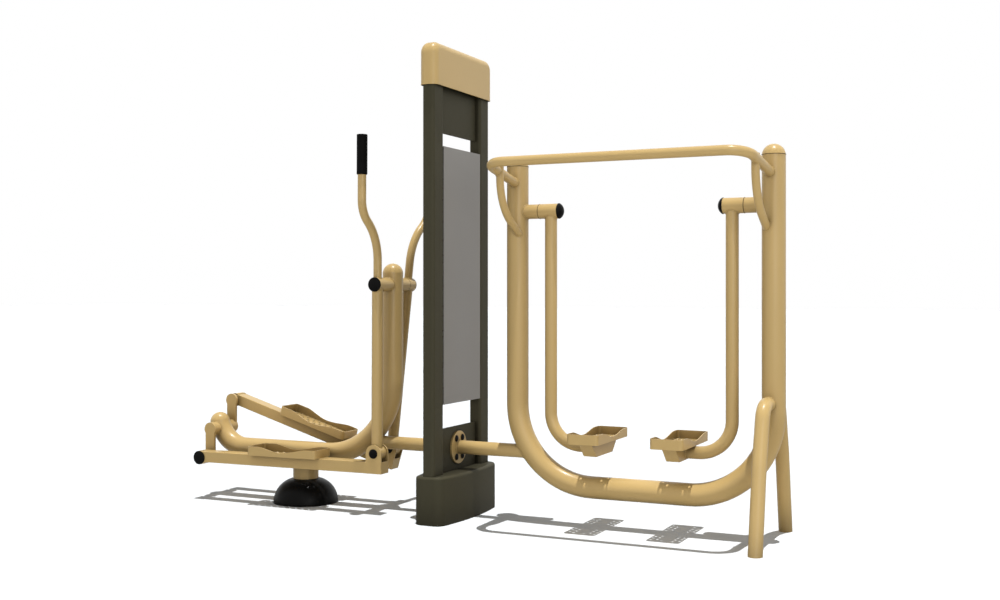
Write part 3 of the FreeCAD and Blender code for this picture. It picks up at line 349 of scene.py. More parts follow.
def add_node(tree, kind, values=None, **settings):
    """One node with its settings and the default values of its named inputs."""
    node = tree.nodes.new(kind)
    for name, value in settings.items():
        setattr(node, name, value)
    for name, value in (values or {}).items():
        node.inputs[name].default_value = value
    return node


def object_place(tree, stretch=(1, 1, 1)):
    """The place on the piece in metres, stretched along its axes."""
    coordinates = add_node(tree, "ShaderNodeTexCoord")
    mapping = add_node(tree, "ShaderNodeMapping", {"Scale": stretch})
    tree.links.new(coordinates.outputs["Object"], mapping.inputs["Vector"])
    return mapping.outputs["Vector"]


def cloud(tree, place, scale, detail=3.0):
    """A soft noise value with a scale in features per metre."""
    noise = add_node(tree, "ShaderNodeTexNoise", {"Scale": scale, "Detail": detail})
    tree.links.new(place, noise.inputs["Vector"])
    return noise.outputs["Fac"]


def spread(tree, value, result=(0.0, 1.0), source=(0.3, 0.7)):
    """A value mapped from a source range to a result range, clamped at its ends."""
    mapped = add_node(tree, "ShaderNodeMapRange", {
        "From Min": source[0], "From Max": source[1], "To Min": result[0], "To Max": result[1]})
    tree.links.new(value, mapped.inputs["Value"])
    return mapped.outputs["Result"]


def blend_colors(tree, factor, first, second):
    """A colour between two, each a colour or a socket."""
    mix = add_node(tree, "ShaderNodeMix", data_type="RGBA")
    sockets = {socket.identifier: socket for socket in mix.inputs}
    tree.links.new(factor, sockets["Factor_Float"])
    for socket, source in ((sockets["A_Color"], first), (sockets["B_Color"], second)):
        if isinstance(source, bpy.types.NodeSocket):
            tree.links.new(source, socket)
        else:
            socket.default_value = (*source, 1)
    return next(socket for socket in mix.outputs if socket.identifier == "Result_Color")


def scaled(color, share):
    """A colour made lighter or darker."""
    return tuple(min(1.0, part * share) for part in color)


def edge_mask(tree, radius):
    """Zero on flat faces and one on edges, with a normal that rounds those edges."""
    bevel = add_node(tree, "ShaderNodeBevel", {"Radius": radius}, samples=6)
    geometry = add_node(tree, "ShaderNodeNewGeometry")
    dot = add_node(tree, "ShaderNodeVectorMath", operation="DOT_PRODUCT")
    tree.links.new(bevel.outputs["Normal"], dot.inputs[0])
    tree.links.new(geometry.outputs["Normal"], dot.inputs[1])
    edges = spread(tree, dot.outputs["Value"], result=(1.0, 0.0), source=(0.86, 0.99))
    return edges, bevel.outputs["Normal"]


def surface_bump(tree, shader, height, strength, distance, normal=None):
    """A fine relief on the shader's normal, over another normal if there is one."""
    bump = add_node(tree, "ShaderNodeBump", {"Strength": strength, "Distance": distance})
    tree.links.new(height, bump.inputs["Height"])
    if normal is not None:
        tree.links.new(normal, bump.inputs["Normal"])
    tree.links.new(bump.outputs["Normal"], shader.inputs["Normal"])


def painted_crevice_shade(tree, reach):
    """One in open places and less in corners: the mask of the painted shade where light is short between
    nearby parts.
    """
    hidden = add_node(tree, "ShaderNodeAmbientOcclusion", {"Distance": reach}, samples=8)
    return spread(tree, hidden.outputs["AO"], source=(0.25, 0.95))


def powder_coat(name, color, roughness, gloss_level, coat, edge_highlight_gain):
    """Baked powder coat: slight cloudiness, orange peel, painted shade in corners and a painted highlight on
    rounded edges.
    """
    material, tree, shader = start_material(name, color, roughness, coat=coat)
    shader.inputs["Specular IOR Level"].default_value = gloss_level
    place = object_place(tree)
    drift = spread(tree, cloud(tree, place, scale=1.7, detail=0.0), source=(0.1, 0.9))
    body = blend_colors(tree, drift, scaled(color, 0.97), scaled(color, 1.03))
    fine = cloud(tree, place, scale=420.0, detail=2.0)
    speck = spread(tree, fine, result=(0.0, 0.35), source=(0.56, 0.75))
    body = blend_colors(tree, speck, body, scaled(color, 0.86))
    edges, rounded = edge_mask(tree, radius=0.0012)
    # Painted highlight: rounded edges are lightened in the colour
    edge_highlight = spread(tree, edges, result=(0.0, 0.45), source=(0.1, 1.0))
    body = blend_colors(tree, edge_highlight, body, scaled(color, edge_highlight_gain))
    # Painted shade: the coat is darkened in corners and between nearby parts
    body = blend_colors(tree, painted_crevice_shade(tree, reach=0.16), scaled(color, 0.3), body)
    tree.links.new(body, shader.inputs["Base Color"])
    gloss = spread(tree, cloud(tree, place, scale=3.0, detail=0.0),
                   result=(roughness - 0.03, roughness + 0.05), source=(0.1, 0.9))
    tree.links.new(gloss, shader.inputs["Roughness"])
    peel = cloud(tree, place, scale=520.0, detail=1.5)
    surface_bump(tree, shader, peel, strength=0.09, distance=0.0012, normal=rounded)
    return material


def sign_sheet_paint(name, color):
    """Satin sheet paint with a faint upright roller grain."""
    material, tree, shader = start_material(name, color, roughness=0.42)
    shader.inputs["Specular IOR Level"].default_value = 0.3
    grain = cloud(tree, object_place(tree, stretch=(1, 60, 1.5)), scale=9.0, detail=4.0)
    soft = cloud(tree, object_place(tree), scale=1.4)
    body = blend_colors(tree, spread(tree, soft), scaled(color, 0.95), scaled(color, 1.05))
    body = blend_colors(tree, spread(tree, grain, result=(0.0, 0.3)), body, scaled(color, 0.9))
    tree.links.new(body, shader.inputs["Base Color"])
    surface_bump(tree, shader, grain, strength=0.04, distance=0.0008)
    return material


def moulded_plastic(name, color, roughness, gloss_level, grain, depth):
    """Moulded plastic, foam and the dark beads of painted seam shade, with dust and a fine grain."""
    material, tree, shader = start_material(name, color, roughness)
    shader.inputs["Specular IOR Level"].default_value = gloss_level
    place = object_place(tree)
    dust = spread(tree, cloud(tree, place, scale=14.0, detail=5.0), result=(0.0, 0.5), source=(0.5, 0.8))
    body = blend_colors(tree, dust, color, scaled(color, 1.9))
    edges, rounded = edge_mask(tree, radius=0.0008)
    rubbed = spread(tree, edges, result=(0.0, 0.4), source=(0.0, 1.0))
    body = blend_colors(tree, rubbed, body, scaled(color, 2.6))
    tree.links.new(body, shader.inputs["Base Color"])
    gloss = spread(tree, cloud(tree, place, scale=30.0), result=(roughness - 0.06, roughness + 0.08))
    tree.links.new(gloss, shader.inputs["Roughness"])
    pores = cloud(tree, place, grain, detail=2.0)
    surface_bump(tree, shader, pores, strength=depth, distance=0.0008, normal=rounded)
    return material


def turned_steel(name, color):
    """Bare turned steel with fine brushed variation."""
    material, tree, shader = start_material(name, color, roughness=0.32, metallic=1.0)
    place = object_place(tree)
    stain = spread(tree, cloud(tree, place, scale=40.0, detail=4.0))
    body = blend_colors(tree, stain, scaled(color, 0.82), scaled(color, 1.08))
    tree.links.new(body, shader.inputs["Base Color"])
    gloss = spread(tree, cloud(tree, place, scale=160.0), result=(0.24, 0.42))
    tree.links.new(gloss, shader.inputs["Roughness"])
    brushed = cloud(tree, place, scale=900.0, detail=1.0)
    surface_bump(tree, shader, brushed, strength=0.05, distance=0.0004)
    return material


def dress(piece, name):
    """Give a piece one of the finishes that the finishes operator made."""
    piece.data.materials.clear()
    piece.data.materials.append(bpy.data.materials[name])


# Shapes


def new_piece(name, mesh_maker, body, material):
    """An object made from a bmesh in the station's frame, that moves with a body."""
    mesh = bpy.data.meshes.new(name)
    mesh_maker.to_mesh(mesh)
    mesh_maker.free()
    for polygon in mesh.polygons:
        polygon.use_smooth = True
    mesh.set_sharp_from_angle(angle=SHARP_ANGLE)
    piece = bpy.data.objects.new(name, mesh)
    bpy.context.scene.collection.objects.link(piece)
    dress(piece, material)
    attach(piece, body)
    return piece


def solids_of(node):
    """The vertices of each separate solid of a CAD node, in the order of its mesh."""
    mesh_maker = bmesh.new()
    mesh_maker.from_mesh(NODES[node].data)
    bmesh.ops.remove_doubles(mesh_maker, verts=mesh_maker.verts, dist=MERGE_DISTANCE)
    left = set(mesh_maker.verts)
    solids = []
    for start in mesh_maker.verts:
        if start not in left:
            continue
        left.remove(start)
        found = [start]
        for vertex in found:
            for edge in vertex.link_edges:
                other = edge.other_vert(vertex)
                if other in left:
                    left.remove(other)
                    found.append(other)
        solids.append([vertex.co.copy() for vertex in found])
    mesh_maker.free()
    return solids


def spun(mesh_maker, profile, base, axis, steps, ring=False):
    """Add a turned shape: a profile of (radius, height) points, spun about an axis from its base."""
    place = Matrix.Translation(base) @ Z_AXIS.rotation_difference(axis).to_matrix().to_4x4()
    vertices = [mesh_maker.verts.new(place @ Vector((radius, 0, height))) for radius, height in profile]
    pairs = list(zip(vertices, vertices[1:]))
    if ring:
        pairs.append((vertices[-1], vertices[0]))
    edges = [mesh_maker.edges.new(pair) for pair in pairs]
    bmesh.ops.spin(mesh_maker, geom=vertices + edges, cent=base, axis=axis,
                   angle=math.tau, steps=steps, use_merge=True)


def closed(mesh_maker):
    """The bmesh with its doubles merged and every face turned outwards."""
    bmesh.ops.remove_doubles(mesh_maker, verts=mesh_maker.verts, dist=MERGE_DISTANCE)
    bmesh.ops.recalc_face_normals(mesh_maker, faces=mesh_maker.faces)
    return mesh_maker


# Caps, collars and screws


def dome_profile(radius, rim, crown, edge, steps=10):
    """Half section of a domed cap: flat base, straight rim with a rounded edge, ball-shaped crown."""
    ball = (radius ** 2 + crown ** 2) / (2 * crown)
    widest = math.asin(min(1.0, radius / ball))
    cut_back = 0.3 * edge
    profile = [(0, 0), (radius, 0), (radius, rim - edge), (radius - cut_back, rim - cut_back)]
    for index in range(1, steps + 1):
        angle = widest * (1 - index / steps)
        profile.append((ball * math.sin(angle), rim + crown - ball * (1 - math.cos(angle))))
    return profile


def cap_shape(points, axis, rim_share=0.985):
    """Base centre, outward direction, radius, rim and crown of a domed cap, from its vertices."""
    across = [axis.orthogonal().normalized()]
    across.append(axis.cross(across[0]))
    centre = Vector((0, 0, 0))
    for direction in across:
        reach = [point.dot(direction) for point in points]
        centre += direction * (min(reach) + max(reach)) / 2
    places = [(point.dot(axis), (point - axis * point.dot(axis) - centre).length) for point in points]
    radius = max(place[1] for place in places)
    peak = min(places, key=lambda place: place[1])[0]
    rim_levels = [place[0] for place in places if place[1] > rim_share * radius]
    base = max(rim_levels, key=lambda level: abs(level - peak))
    rim = max(abs(level - base) for level in rim_levels)
    outward = axis if peak > base else -axis
    return centre + axis * base, outward, radius, rim, abs(peak - base) - rim


def hole_places(detail):
    """Places of a tray's drain holes along and across it, from the middle of its floor."""
    places = []
    for line in range(detail.line_count):
        across = (line - (detail.line_count - 1) / 2) * detail.line_pitch
        holes = detail.hole_count - line % 2
        for hole in range(holes):
            places.append(((hole - (holes - 1) / 2) * detail.hole_pitch, across))
    return places


def tray_frame(node, first_hole, probe=0.02):
    """Middle of a tray's floor, with the directions along, across and up.

    Across is turned so that a ray down through the first hole, from a probe's length above the floor,
    meets nothing."""
    mesh = NODES[node].data
    levels = {}
    for polygon in mesh.polygons:
        if polygon.normal.z > 0.9:
            levels.setdefault(round(polygon.center.dot(polygon.normal), 4), []).append(polygon)
    floor = max(levels.values(), key=lambda group: sum(polygon.area for polygon in group))
    largest = max(floor, key=lambda polygon: polygon.area)
    up = largest.normal.copy()
    middles = {}
    spans = {}
    for direction in (Y_AXIS.copy().freeze(), Y_AXIS.cross(up).normalized().freeze()):
        reach = [vertex.co.dot(direction) for vertex in mesh.vertices]
        middles[direction] = (min(reach) + max(reach)) / 2
        spans[direction] = max(reach) - min(reach)
    across, along = sorted(spans, key=lambda direction: spans[direction])
    origin = up * largest.center.dot(up) + across * middles[across] + along * middles[along]
    start = origin + along * first_hole[0] + across * first_hole[1] + up * probe
    if node_trees([node])[0].ray_cast(start, -up, 2 * probe)[0] is not None:
        across = -across
    return origin, along, across, up


# Welds


def node_trees(names):
    """Search trees of some CAD nodes."""
    trees = []
    for name in names:
        mesh = NODES[name].data
        trees.append(BVHTree.FromPolygons([vertex.co for vertex in mesh.vertices],
                                          [polygon.vertices for polygon in mesh.polygons]))
    return trees


def circle_outline(centre, direction, radius, count=56):
    """Points round a tube, square to its direction."""
    side = direction.orthogonal().normalized() * radius
    return [centre + Quaternion(direction, math.tau * index / count) @ side for index in range(count)]


def rectangle_outline(centre, long_side, short_side, count=12):
    """Points round a rectangle, from its two half sides."""
    corners = [centre + long_side * a + short_side * b for a, b in ((-1, -1), (1, -1), (1, 1), (-1, 1))]
    outline = []
    for start, end in zip(corners, corners[1:] + corners[:1]):
        outline += [start.lerp(end, index / count) for index in range(count)]
    return outline


def cast_outline(outline, direction, names):
    """The outline moved along a direction until it meets the named nodes."""
    trees = node_trees(names)
    landed = []
    for place in outline:
        hits = [tree.ray_cast(place, direction) for tree in trees]
        hits = [hit for hit in hits if hit[0] is not None]
        if hits:
            landed.append(min(hits, key=lambda hit: hit[3])[0])
    return landed


def bead_piece(name, body, runs, radius, material=BEIGE_COAT):
    """Closed beads along some runs of points, all as one mesh that moves with a body."""
    curve = bpy.data.curves.new(name, "CURVE")
    curve.dimensions = "3D"
    curve.bevel_depth = radius
    curve.bevel_resolution = 2
    for points in runs:
        spline = curve.splines.new("POLY")
        spline.points.add(len(points) - 1)
        for target, place in zip(spline.points, points):
            target.co = (*place, 1)
        spline.use_cyclic_u = True
    sketch = bpy.data.objects.new(name + "_sketch", curve)
    bpy.context.scene.collection.objects.link(sketch)
    bpy.context.view_layer.update()
    mesh = bpy.data.meshes.new_from_object(sketch)
    bpy.data.objects.remove(sketch)
    mesh_maker = bmesh.new()
    mesh_maker.from_mesh(mesh)
    bpy.data.meshes.remove(mesh)
    return new_piece(name, closed(mesh_maker), body, material)


def tube_weld(centre, direction, radius, *names):
    """Points where a round tube meets the named nodes."""
    direction = direction.normalized()
    return cast_outline(circle_outline(centre, direction, radius + BEAD_CLEARANCE), direction, names)


def link_welds():
    """Beads at both ends of the tubes between the pillar and the machines."""
    runs = []
    for node, frame_node, side in (("left_link_tube", "trainer_frame", -1),
                                   ("right_link_tube", "walker_frame", 1)):
        centre = middle(node)
        radius = half_size(node).y
        runs.append(tube_weld(centre, X_AXIS * side, radius, frame_node))
        runs.append(tube_weld(centre, X_AXIS * -side, radius, "link_flanges"))
    return runs


def beside_post(post, inward, place):
    """A place given by its distance inward from a post's axis, its depth and its height."""
    return Vector((post + inward * place[0], place[1], place[2]))


def walker_welds():
    """Beads where the rail, braces, pivot stubs and support legs meet the walker's frame."""
    stub_start = (STUB_START, 0, PIVOTS["left_swing_pivot"].z)
    runs = []
    for post, inward in ((LEFT_POST, 1), (RIGHT_POST, -1)):
        stub, rail_bend, rail_root, brace_turn, brace_root = (
            beside_post(post, inward, place)
            for place in (stub_start, RAIL_BEND, RAIL_ROOT, BRACE_TURN, BRACE_ROOT))
        rail_start = rail_bend.lerp(rail_root, RAIL_SHARE)
        brace_start = brace_turn.lerp(brace_root, BRACE_SHARE)
        brace_top = Vector((brace_turn.x, brace_turn.y, BRACE_TOP_START))
        runs += [
            tube_weld(stub, X_AXIS * -inward, STUB_RADIUS, "walker_frame"),
            tube_weld(rail_start, rail_root - rail_bend, RAIL_RADIUS, "walker_frame"),
            tube_weld(brace_start, brace_root - brace_turn, BRACE_RADIUS, "walker_frame"),
            tube_weld(brace_top, Z_AXIS, BRACE_RADIUS, "handrail"),
        ]
    for side in (-1, 1):
        shoulder = Vector((LEG_PLACE, side * LEG_SHOULDER[0], LEG_SHOULDER[1]))
        root = Vector((LEG_PLACE, 0, LEG_ROOT))
        runs.append(tube_weld(shoulder, root - shoulder, LEG_RADIUS, "walker_frame"))
    return runs


def trainer_welds():
    """Beads where the crank housing, the lever axle's housing and the foot post meet the trainer's frame."""
    crank = PIVOTS["crank_turn"]
    axle_height = PIVOTS["near_lever_pivot"].z
    foot = middle("foot_post")
    runs = [tube_weld(Vector((foot.x, 0, foot.z)), Z_AXIS, half_size("foot_post").y, "trainer_frame")]
    for side in (-1, 1):
        crank_side = Vector((crank.x, side * CRANK_START, crank.z))
        runs.append(tube_weld(crank_side, Y_AXIS * -side, CRANK_RADIUS, "trainer_frame", "post_domes"))
        axle_side = Vector((TRAINER_POST, side * AXLE_START, axle_height))
        runs.append(tube_weld(axle_side, Y_AXIS * -side, AXLE_RADIUS, "trainer_frame"))
    return runs


def swing_welds(side):
    """Beads of one swing: leg to hub, leg to bracket and bracket to tray."""
    outward = -1 if side == "left" else 1
    leg = middle(side + "_swing_leg")
    leg_half = half_size(side + "_swing_leg")
    leg_radius = leg_half.y
    leg_x = leg.x + outward * (leg_half.x - leg_radius)
    foot_z = leg.z - leg_half.z + leg_radius
    bracket = middle(side + "_pedal_bracket")
    bracket_half = half_size(side + "_pedal_bracket")
    bracket_side = Vector((bracket.x + outward * (bracket_half.x + BRACKET_START), 0, foot_z))
    bracket_top = Vector((bracket.x, bracket.y, bracket.z + bracket_half.z - BRACKET_BEAD_DEPTH))
    return [
        tube_weld(Vector((leg_x, 0, SWING_START)), Z_AXIS, leg_radius, side + "_swing_hub"),
        tube_weld(bracket_side, X_AXIS * -outward, leg_radius, side + "_pedal_bracket"),
        rectangle_outline(bracket_top, Y_AXIS * bracket_half.y, X_AXIS * bracket_half.x),
    ]


def lever_welds(side):
    """Beads at the hubs of one lever and at the foot of its handle tube."""
    pivot = PIVOTS[side + "_lever_pivot"]
    lever = middle(side + "_lever")
    down = Vector((lever.x - pivot.x, 0, lever.z - pivot.z)).normalized()
    start = Vector((pivot.x, lever.y, pivot.z))
    casts = (
        (UPPER_HUB_START, -down, LEVER_RADIUS),
        (LOWER_HUB_START, down, LEVER_RADIUS),
        (HANDLE_START, down, HANDLE_RADIUS),
    )
    return [tube_weld(start + down * reach, way, radius, side + "_lever") for reach, way, radius in casts]


def beam_welds(side, first_hole):
    """Beads along the tray on one foot beam, and where its box meets the rear hub."""
    origin, along, _, up = tray_frame(side + "_beam_tray", first_hole)
    hub = PIVOTS[side + "_beam_pivot"]
    beam_half = Y_AXIS * half_size(side + "_foot_beam").y
    rise = (origin - hub).dot(up) - TRAY_FLOOR - BEAM_HALF_HEIGHT
    box_middle = hub + along * REAR_HUB_START + up * rise
    box_middle.y = middle(side + "_foot_beam").y
    box = rectangle_outline(box_middle, beam_half * BEAM_OUTLINE_WIDTH_SHARE, up * BEAM_OUTLINE_HALF_HEIGHT)
    return [
        rectangle_outline(origin - up * TRAY_BEAD_DEPTH, along * BEAM_TRAY_HALF, beam_half),
        cast_outline(box, -along, [side + "_foot_beam"]),
    ]


# Operators


class STATION_OT_finishes(bpy.types.Operator):
    """Make the station's finishes and paint the CAD nodes"""

    bl_idname = "station.finishes"
    bl_label = "Paint the station"

    def execute(self, context):
        colors = context.scene.station_finish
        black = tuple(colors.black)
        powder_coat(BEIGE_COAT, tuple(colors.beige), roughness=0.3, gloss_level=0.3, coat=0.06,
                    edge_highlight_gain=1.12)
        powder_coat(OLIVE_COAT, tuple(colors.olive), roughness=0.5, gloss_level=0.08, coat=0.0,
                    edge_highlight_gain=1.5)
        sign_sheet_paint(SHEET_PAINT, tuple(colors.sheet))
        moulded_plastic(BLACK_PLASTIC, black, roughness=0.34, gloss_level=0.07, grain=700.0, depth=0.1)
        moulded_plastic(GRIP_FOAM, scaled(black, 0.9), roughness=0.6, gloss_level=0.05, grain=1500.0,
                        depth=0.3)
        moulded_plastic(SEAM_SHADE, tuple(colors.seam_shade), roughness=0.6, gloss_level=0.1, grain=900.0,
                        depth=0.2)
        turned_steel(BARE_STEEL, tuple(colors.steel))
        for name, nodes in PAINTED_NODES.items():
            for node in nodes:
                dress(NODES[node], name)
        return {"FINISHED"}


class STATION_OT_frame_welds(bpy.types.Operator):
    """Weld the tubes of the pillar, the walker and the cross trainer"""

    bl_idname = "station.frame_welds"
    bl_label = "Weld the frames"

    def execute(self, context):
        radius = context.scene.station_detail.weld
        runs = link_welds() + walker_welds() + trainer_welds()
        bead_piece("frame_weld_beads", "station", runs, radius)
        return {"FINISHED"}


class STATION_OT_moving_welds(bpy.types.Operator):
    """Weld the swings, the levers and the foot beams"""

    bl_idname = "station.moving_welds"
    bl_label = "Weld the moving parts"

    def execute(self, context):
        detail = context.scene.station_detail
        first_hole = hole_places(detail)[0]
        for side in ("left", "right"):
            bead_piece(side + "_swing_weld_beads", side + "_swing", swing_welds(side), detail.weld)
        for side in ("near", "far"):
            bead_piece(side + "_lever_weld_beads", side + "_lever_set", lever_welds(side), detail.weld)
            bead_piece(side + "_beam_weld_beads", side + "_beam", beam_welds(side, first_hole), detail.weld)
        return {"FINISHED"}


class STATION_OT_seams(bpy.types.Operator):
    """Lay dark beads in the seams under the walker's domes and beside its pivot hubs, as painted seam shade
    """

    bl_idname = "station.seams"
    bl_label = "Shade the seams"

    def execute(self, context):
        seam = context.scene.station_detail.seam
        top = middle("walker_frame").z + half_size("walker_frame").z
        pivot = PIVOTS["left_swing_pivot"]
        runs = []
        for post in (LEFT_POST, RIGHT_POST):
            radius = FRAME_RADIUS - DOME_SEAM_SINK * seam
            runs.append(circle_outline(Vector((post, 0, top)), Z_AXIS, radius))
        for side, outward in (("left", -1), ("right", 1)):
            hub = side + "_swing_hub"
            gap = middle(hub).x + outward * (half_size(hub).x + HUB_GAP_MIDDLE)
            radius = half_size(hub).y - HUB_SEAM_SINK * seam
            runs.append(circle_outline(Vector((gap, 0, pivot.z)), X_AXIS, radius))
        # The dark beads stand in for the shade in these seams
        bead_piece("seam_shade_beads", "station", runs, seam, SEAM_SHADE)
        return {"FINISHED"}


class STATION_OT_cap_rim(bpy.types.Operator):
    """Roll the lower rim of the pillar's cap"""

    bl_idname = "station.cap_rim"
    bl_label = "Roll the pillar cap's rim"

    def execute(self, context):
        radius = context.scene.station_detail.rim
        cap = middle("pillar_cap")
        half = half_size("pillar_cap")
        rim = []
        for quarter, (side_x, side_y) in enumerate(((1, 1), (-1, 1), (-1, -1), (1, -1))):
            centre = Vector((side_x * (half.x - CAP_CORNER), side_y * (half.y - CAP_CORNER),
                             cap.z - half.z + radius))
            for step in range(CORNER_STEPS + 1):
                angle = math.radians(90 * (quarter + step / CORNER_STEPS))
                rim.append(centre + Vector((math.cos(angle), math.sin(angle), 0)) * CAP_CORNER)
        bead_piece("pillar_cap_rim", "station", [rim], radius)
        return {"FINISHED"}


class STATION_OT_tread_collars(bpy.types.Operator):
    """Raise a collar round every drain hole of the foot trays"""

    bl_idname = "station.tread_collars"
    bl_label = "Raise the tread collars"

    def execute(self, context):
        detail = context.scene.station_detail
        places = hole_places(detail)
        inner = detail.hole_radius
        width = detail.collar_width
        height = detail.collar_height
        profile = [(inner, 0), (inner + COLLAR_LEAN, COLLAR_SHOULDER * height),
                   (inner + COLLAR_CREST * width, height), (inner + width, 0)]
        for node, body in TRAYS.items():
            origin, along, across, up = tray_frame(node, places[0])
            mesh_maker = bmesh.new()
            for along_place, across_place in places:
                base = origin + along * along_place + across * across_place
                spun(mesh_maker, profile, base, up, steps=12, ring=True)
            new_piece(node + "_collars", closed(mesh_maker), body, BEIGE_COAT)
        return {"FINISHED"}


class STATION_OT_caps(bpy.types.Operator):
    """Turn the black caps of the hubs, pivots and flange bolts"""

    bl_idname = "station.caps"
    bl_label = "Turn the black caps"

    def execute(self, context):
        edge = context.scene.station_detail.cap_edge
        for node, (body, axis) in CAPS.items():
            mesh_maker = bmesh.new()
            for points in solids_of(node):
                base, outward, radius, rim, crown = cap_shape(points, axis)
                spun(mesh_maker, dome_profile(radius, rim, crown, edge), base, outward, steps=48)
            piece = new_piece(node + "_moulded", closed(mesh_maker), body, BLACK_PLASTIC)
            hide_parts(node)
        self.bolt_covers(edge)
        return {"FINISHED"}

    def bolt_covers(self, edge):
        """Covers over both ends of every flange bolt, with a paint edge round each on the flange."""
        mesh_maker = bmesh.new()
        rings = []
        face = middle("link_flanges").x + half_size("link_flanges").x
        shank = [(0, 0), (SHANK_RADIUS, 0), (SHANK_RADIUS, 2 * face), (0, 2 * face)]
        for points in solids_of("flange_bolts"):
            reach = max(point.x for point in points)
            height = (min(point.z for point in points) + max(point.z for point in points)) / 2
            depth = (min(point.y for point in points) + max(point.y for point in points)) / 2
            radius = max(point.z for point in points) - height
            profile = dome_profile(radius, COVER_RIM, reach - face - COVER_RIM, edge)
            for side in (-1, 1):
                base = Vector((side * face, depth, height))
                spun(mesh_maker, profile, base, X_AXIS * side, steps=36)
                rings.append(circle_outline(base, X_AXIS, radius + PAINT_RING_RADIUS))
            spun(mesh_maker, shank, Vector((-face, depth, height)), X_AXIS, steps=24)
        covers = new_piece("flange_bolt_covers", closed(mesh_maker), "station", BLACK_PLASTIC)
        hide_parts("flange_bolts")
        bead_piece("flange_bolt_rings", "station", rings, PAINT_RING_RADIUS)


class STATION_OT_foot_dome_trim(bpy.types.Operator):
    """Add the foot dome's rim, neck lip and screws"""

    bl_idname = "station.foot_dome_trim"
    bl_label = "Trim the foot dome"

    def execute(self, context):
        dome = middle("foot_dome")
        half = half_size("foot_dome")
        top = dome.z + half.z
        neck = half_size("foot_post").y + NECK_CLEARANCE
        ground = Vector((dome.x, dome.y, 0))
        rim = [(half.x + out, up) for out, up in DOME_RIM]
        lip = [(neck + out, top + up) for out, up in NECK_LIP]
        mesh_maker = bmesh.new()
        spun(mesh_maker, rim, ground, Z_AXIS, steps=96, ring=True)
        spun(mesh_maker, lip, ground, Z_AXIS, steps=72, ring=True)
        new_piece("foot_dome_trim", closed(mesh_maker), "station", BLACK_PLASTIC)
        self.screws(context.scene.station_detail.screw_radius, dome, top)
        return {"FINISHED"}

    def screws(self, radius, dome, top, drop=0.05):
        """Screw heads on the dome, found by a drop from above it."""
        tree = node_trees(["foot_dome"])[0]
        head = [(share * radius, height) for share, height in SCREW_HEAD]
        mesh_maker = bmesh.new()
        for reach, turn in SCREW_PLACES:
            angle = math.radians(turn)
            start = Vector((dome.x + reach * math.cos(angle), dome.y + reach * math.sin(angle), top + drop))
            place, normal, _, _ = tree.ray_cast(start, -Z_AXIS)
            spun(mesh_maker, head, place, normal, steps=24)
        new_piece("foot_dome_screws", closed(mesh_maker), "station", BLACK_PLASTIC)


def add_light(context, name, kind, energy, turn):
    """A light of some kind and strength, turned by a quaternion."""
    data = bpy.data.lights.new(name, kind)
    data.energy = energy
    light = bpy.data.objects.new(name, data)
    light.rotation_mode = "QUATERNION"
    light.rotation_quaternion = turn
    context.scene.collection.objects.link(light)
    return light


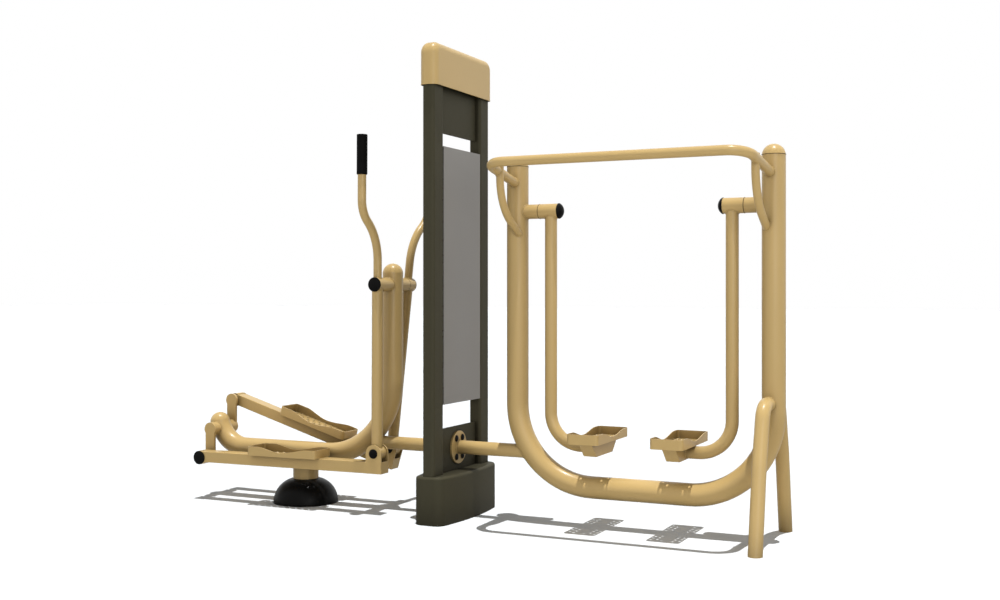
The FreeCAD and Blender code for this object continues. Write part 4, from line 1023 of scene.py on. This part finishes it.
class STATION_OT_stage(bpy.types.Operator):
    """Set the camera, the light and the floor"""

    bl_idname = "station.stage"
    bl_label = "Set the stage"

    def execute(self, context):
        stage = context.scene.station_stage
        self.camera(context, stage)
        self.lights(context, stage)
        self.sky(context, stage)
        self.floor(context)
        context.scene.view_settings.view_transform = "Standard"
        return {"FINISHED"}

    def camera(self, context, stage):
        """A level camera with a shifted lens."""
        data = bpy.data.cameras.new("Photo camera")
        data.sensor_width = SENSOR_WIDTH
        data.lens = stage.lens
        data.shift_y = stage.horizon_shift
        camera = bpy.data.objects.new("Photo camera", data)
        camera.location = stage.camera_place
        camera.rotation_euler = (math.radians(90), 0, stage.camera_turn)
        context.scene.collection.objects.link(camera)
        context.scene.camera = camera

    def lights(self, context, stage):
        """The sun, and a large soft lamp in front."""
        turn = Vector(stage.toward_sun).to_track_quat("Z", "Y")
        sun = add_light(context, "Sun", "SUN", stage.sun, turn)
        sun.data.angle = stage.sun_angle
        aim = Vector(stage.lamp_target) - Vector(stage.lamp_place)
        lamp = add_light(context, "Front lamp", "AREA", stage.front_lamp, aim.to_track_quat("-Z", "Y"))
        lamp.data.size = stage.lamp_size
        lamp.location = stage.lamp_place

    def sky(self, context, stage):
        """A sky that lights the station softly, and looks plain white to the camera and in reflections."""
        world = bpy.data.worlds.new("Even sky")
        world.use_nodes = True
        context.scene.world = world
        tree = world.node_tree
        background = tree.nodes["Background"]
        background.inputs["Color"].default_value = (1, 1, 1, 1)
        coordinates = add_node(tree, "ShaderNodeTexCoord")
        parts = add_node(tree, "ShaderNodeSeparateXYZ")
        tree.links.new(coordinates.outputs["Generated"], parts.inputs["Vector"])
        studio = spread(tree, parts.outputs["Z"], result=(stage.horizon, stage.sky), source=SKY_HEIGHTS)
        path = add_node(tree, "ShaderNodeLightPath")
        seen = add_node(tree, "ShaderNodeMath", operation="MAXIMUM")
        tree.links.new(path.outputs["Is Camera Ray"], seen.inputs[0])
        tree.links.new(path.outputs["Is Glossy Ray"], seen.inputs[1])
        strength = add_node(tree, "ShaderNodeMix", {"B": 1.0}, data_type="FLOAT")
        tree.links.new(seen.outputs["Value"], strength.inputs["Factor"])
        tree.links.new(studio, strength.inputs["A"])
        tree.links.new(strength.outputs["Result"], background.inputs["Strength"])

    def floor(self, context):
        """A floor that looks pale to the camera and throws less light back at the station."""
        mesh_maker = bmesh.new()
        bmesh.ops.create_grid(mesh_maker, x_segments=1, y_segments=1, size=FLOOR_HALF)
        mesh = bpy.data.meshes.new("Floor")
        mesh_maker.to_mesh(mesh)
        mesh_maker.free()
        floor = bpy.data.objects.new("Floor", mesh)
        context.scene.collection.objects.link(floor)
        material, tree, shader = start_material("Pale floor", FLOOR_SEEN, roughness=0.9)
        shader.inputs["Specular IOR Level"].default_value = 0.0
        path = add_node(tree, "ShaderNodeLightPath")
        pale = blend_colors(tree, path.outputs["Is Camera Ray"], FLOOR_BOUNCE, FLOOR_SEEN)
        tree.links.new(pale, shader.inputs["Base Color"])
        mesh.materials.append(material)


OPERATORS = (
    STATION_OT_finishes, STATION_OT_frame_welds, STATION_OT_moving_welds, STATION_OT_seams,
    STATION_OT_cap_rim, STATION_OT_tread_collars, STATION_OT_caps, STATION_OT_foot_dome_trim,
    STATION_OT_stage,
)


class STATION_PT_panel(bpy.types.Panel):
    """Steps that dress the station"""

    bl_label = "Exercise station"
    bl_space_type = "VIEW_3D"
    bl_region_type = "UI"
    bl_category = "Station"

    def draw(self, context):
        for step in OPERATORS:
            self.layout.operator(step.bl_idname)
        for group in ("station_finish", "station_detail", "station_stage"):
            settings = getattr(context.scene, group)
            for name in settings.__annotations__:
                self.layout.prop(settings, name)


CLASSES = (FinishSettings, DetailSettings, StageSettings, *OPERATORS, STATION_PT_panel)


def register():
    """Add the settings, the operators and the panel."""
    for kind in CLASSES:
        bpy.utils.register_class(kind)
    bpy.types.Scene.station_finish = bpy.props.PointerProperty(type=FinishSettings)
    bpy.types.Scene.station_detail = bpy.props.PointerProperty(type=DetailSettings)
    bpy.types.Scene.station_stage = bpy.props.PointerProperty(type=StageSettings)


def unregister():
    """Take the settings, the operators and the panel away again."""
    del bpy.types.Scene.station_stage
    del bpy.types.Scene.station_detail
    del bpy.types.Scene.station_finish
    for kind in reversed(CLASSES):
        bpy.utils.unregister_class(kind)


def main():
    """Run every step in order."""
    register()
    for step in OPERATORS:
        group, name = step.bl_idname.split(".")
        getattr(getattr(bpy.ops, group), name)()


if __name__ == "__main__":
    main()
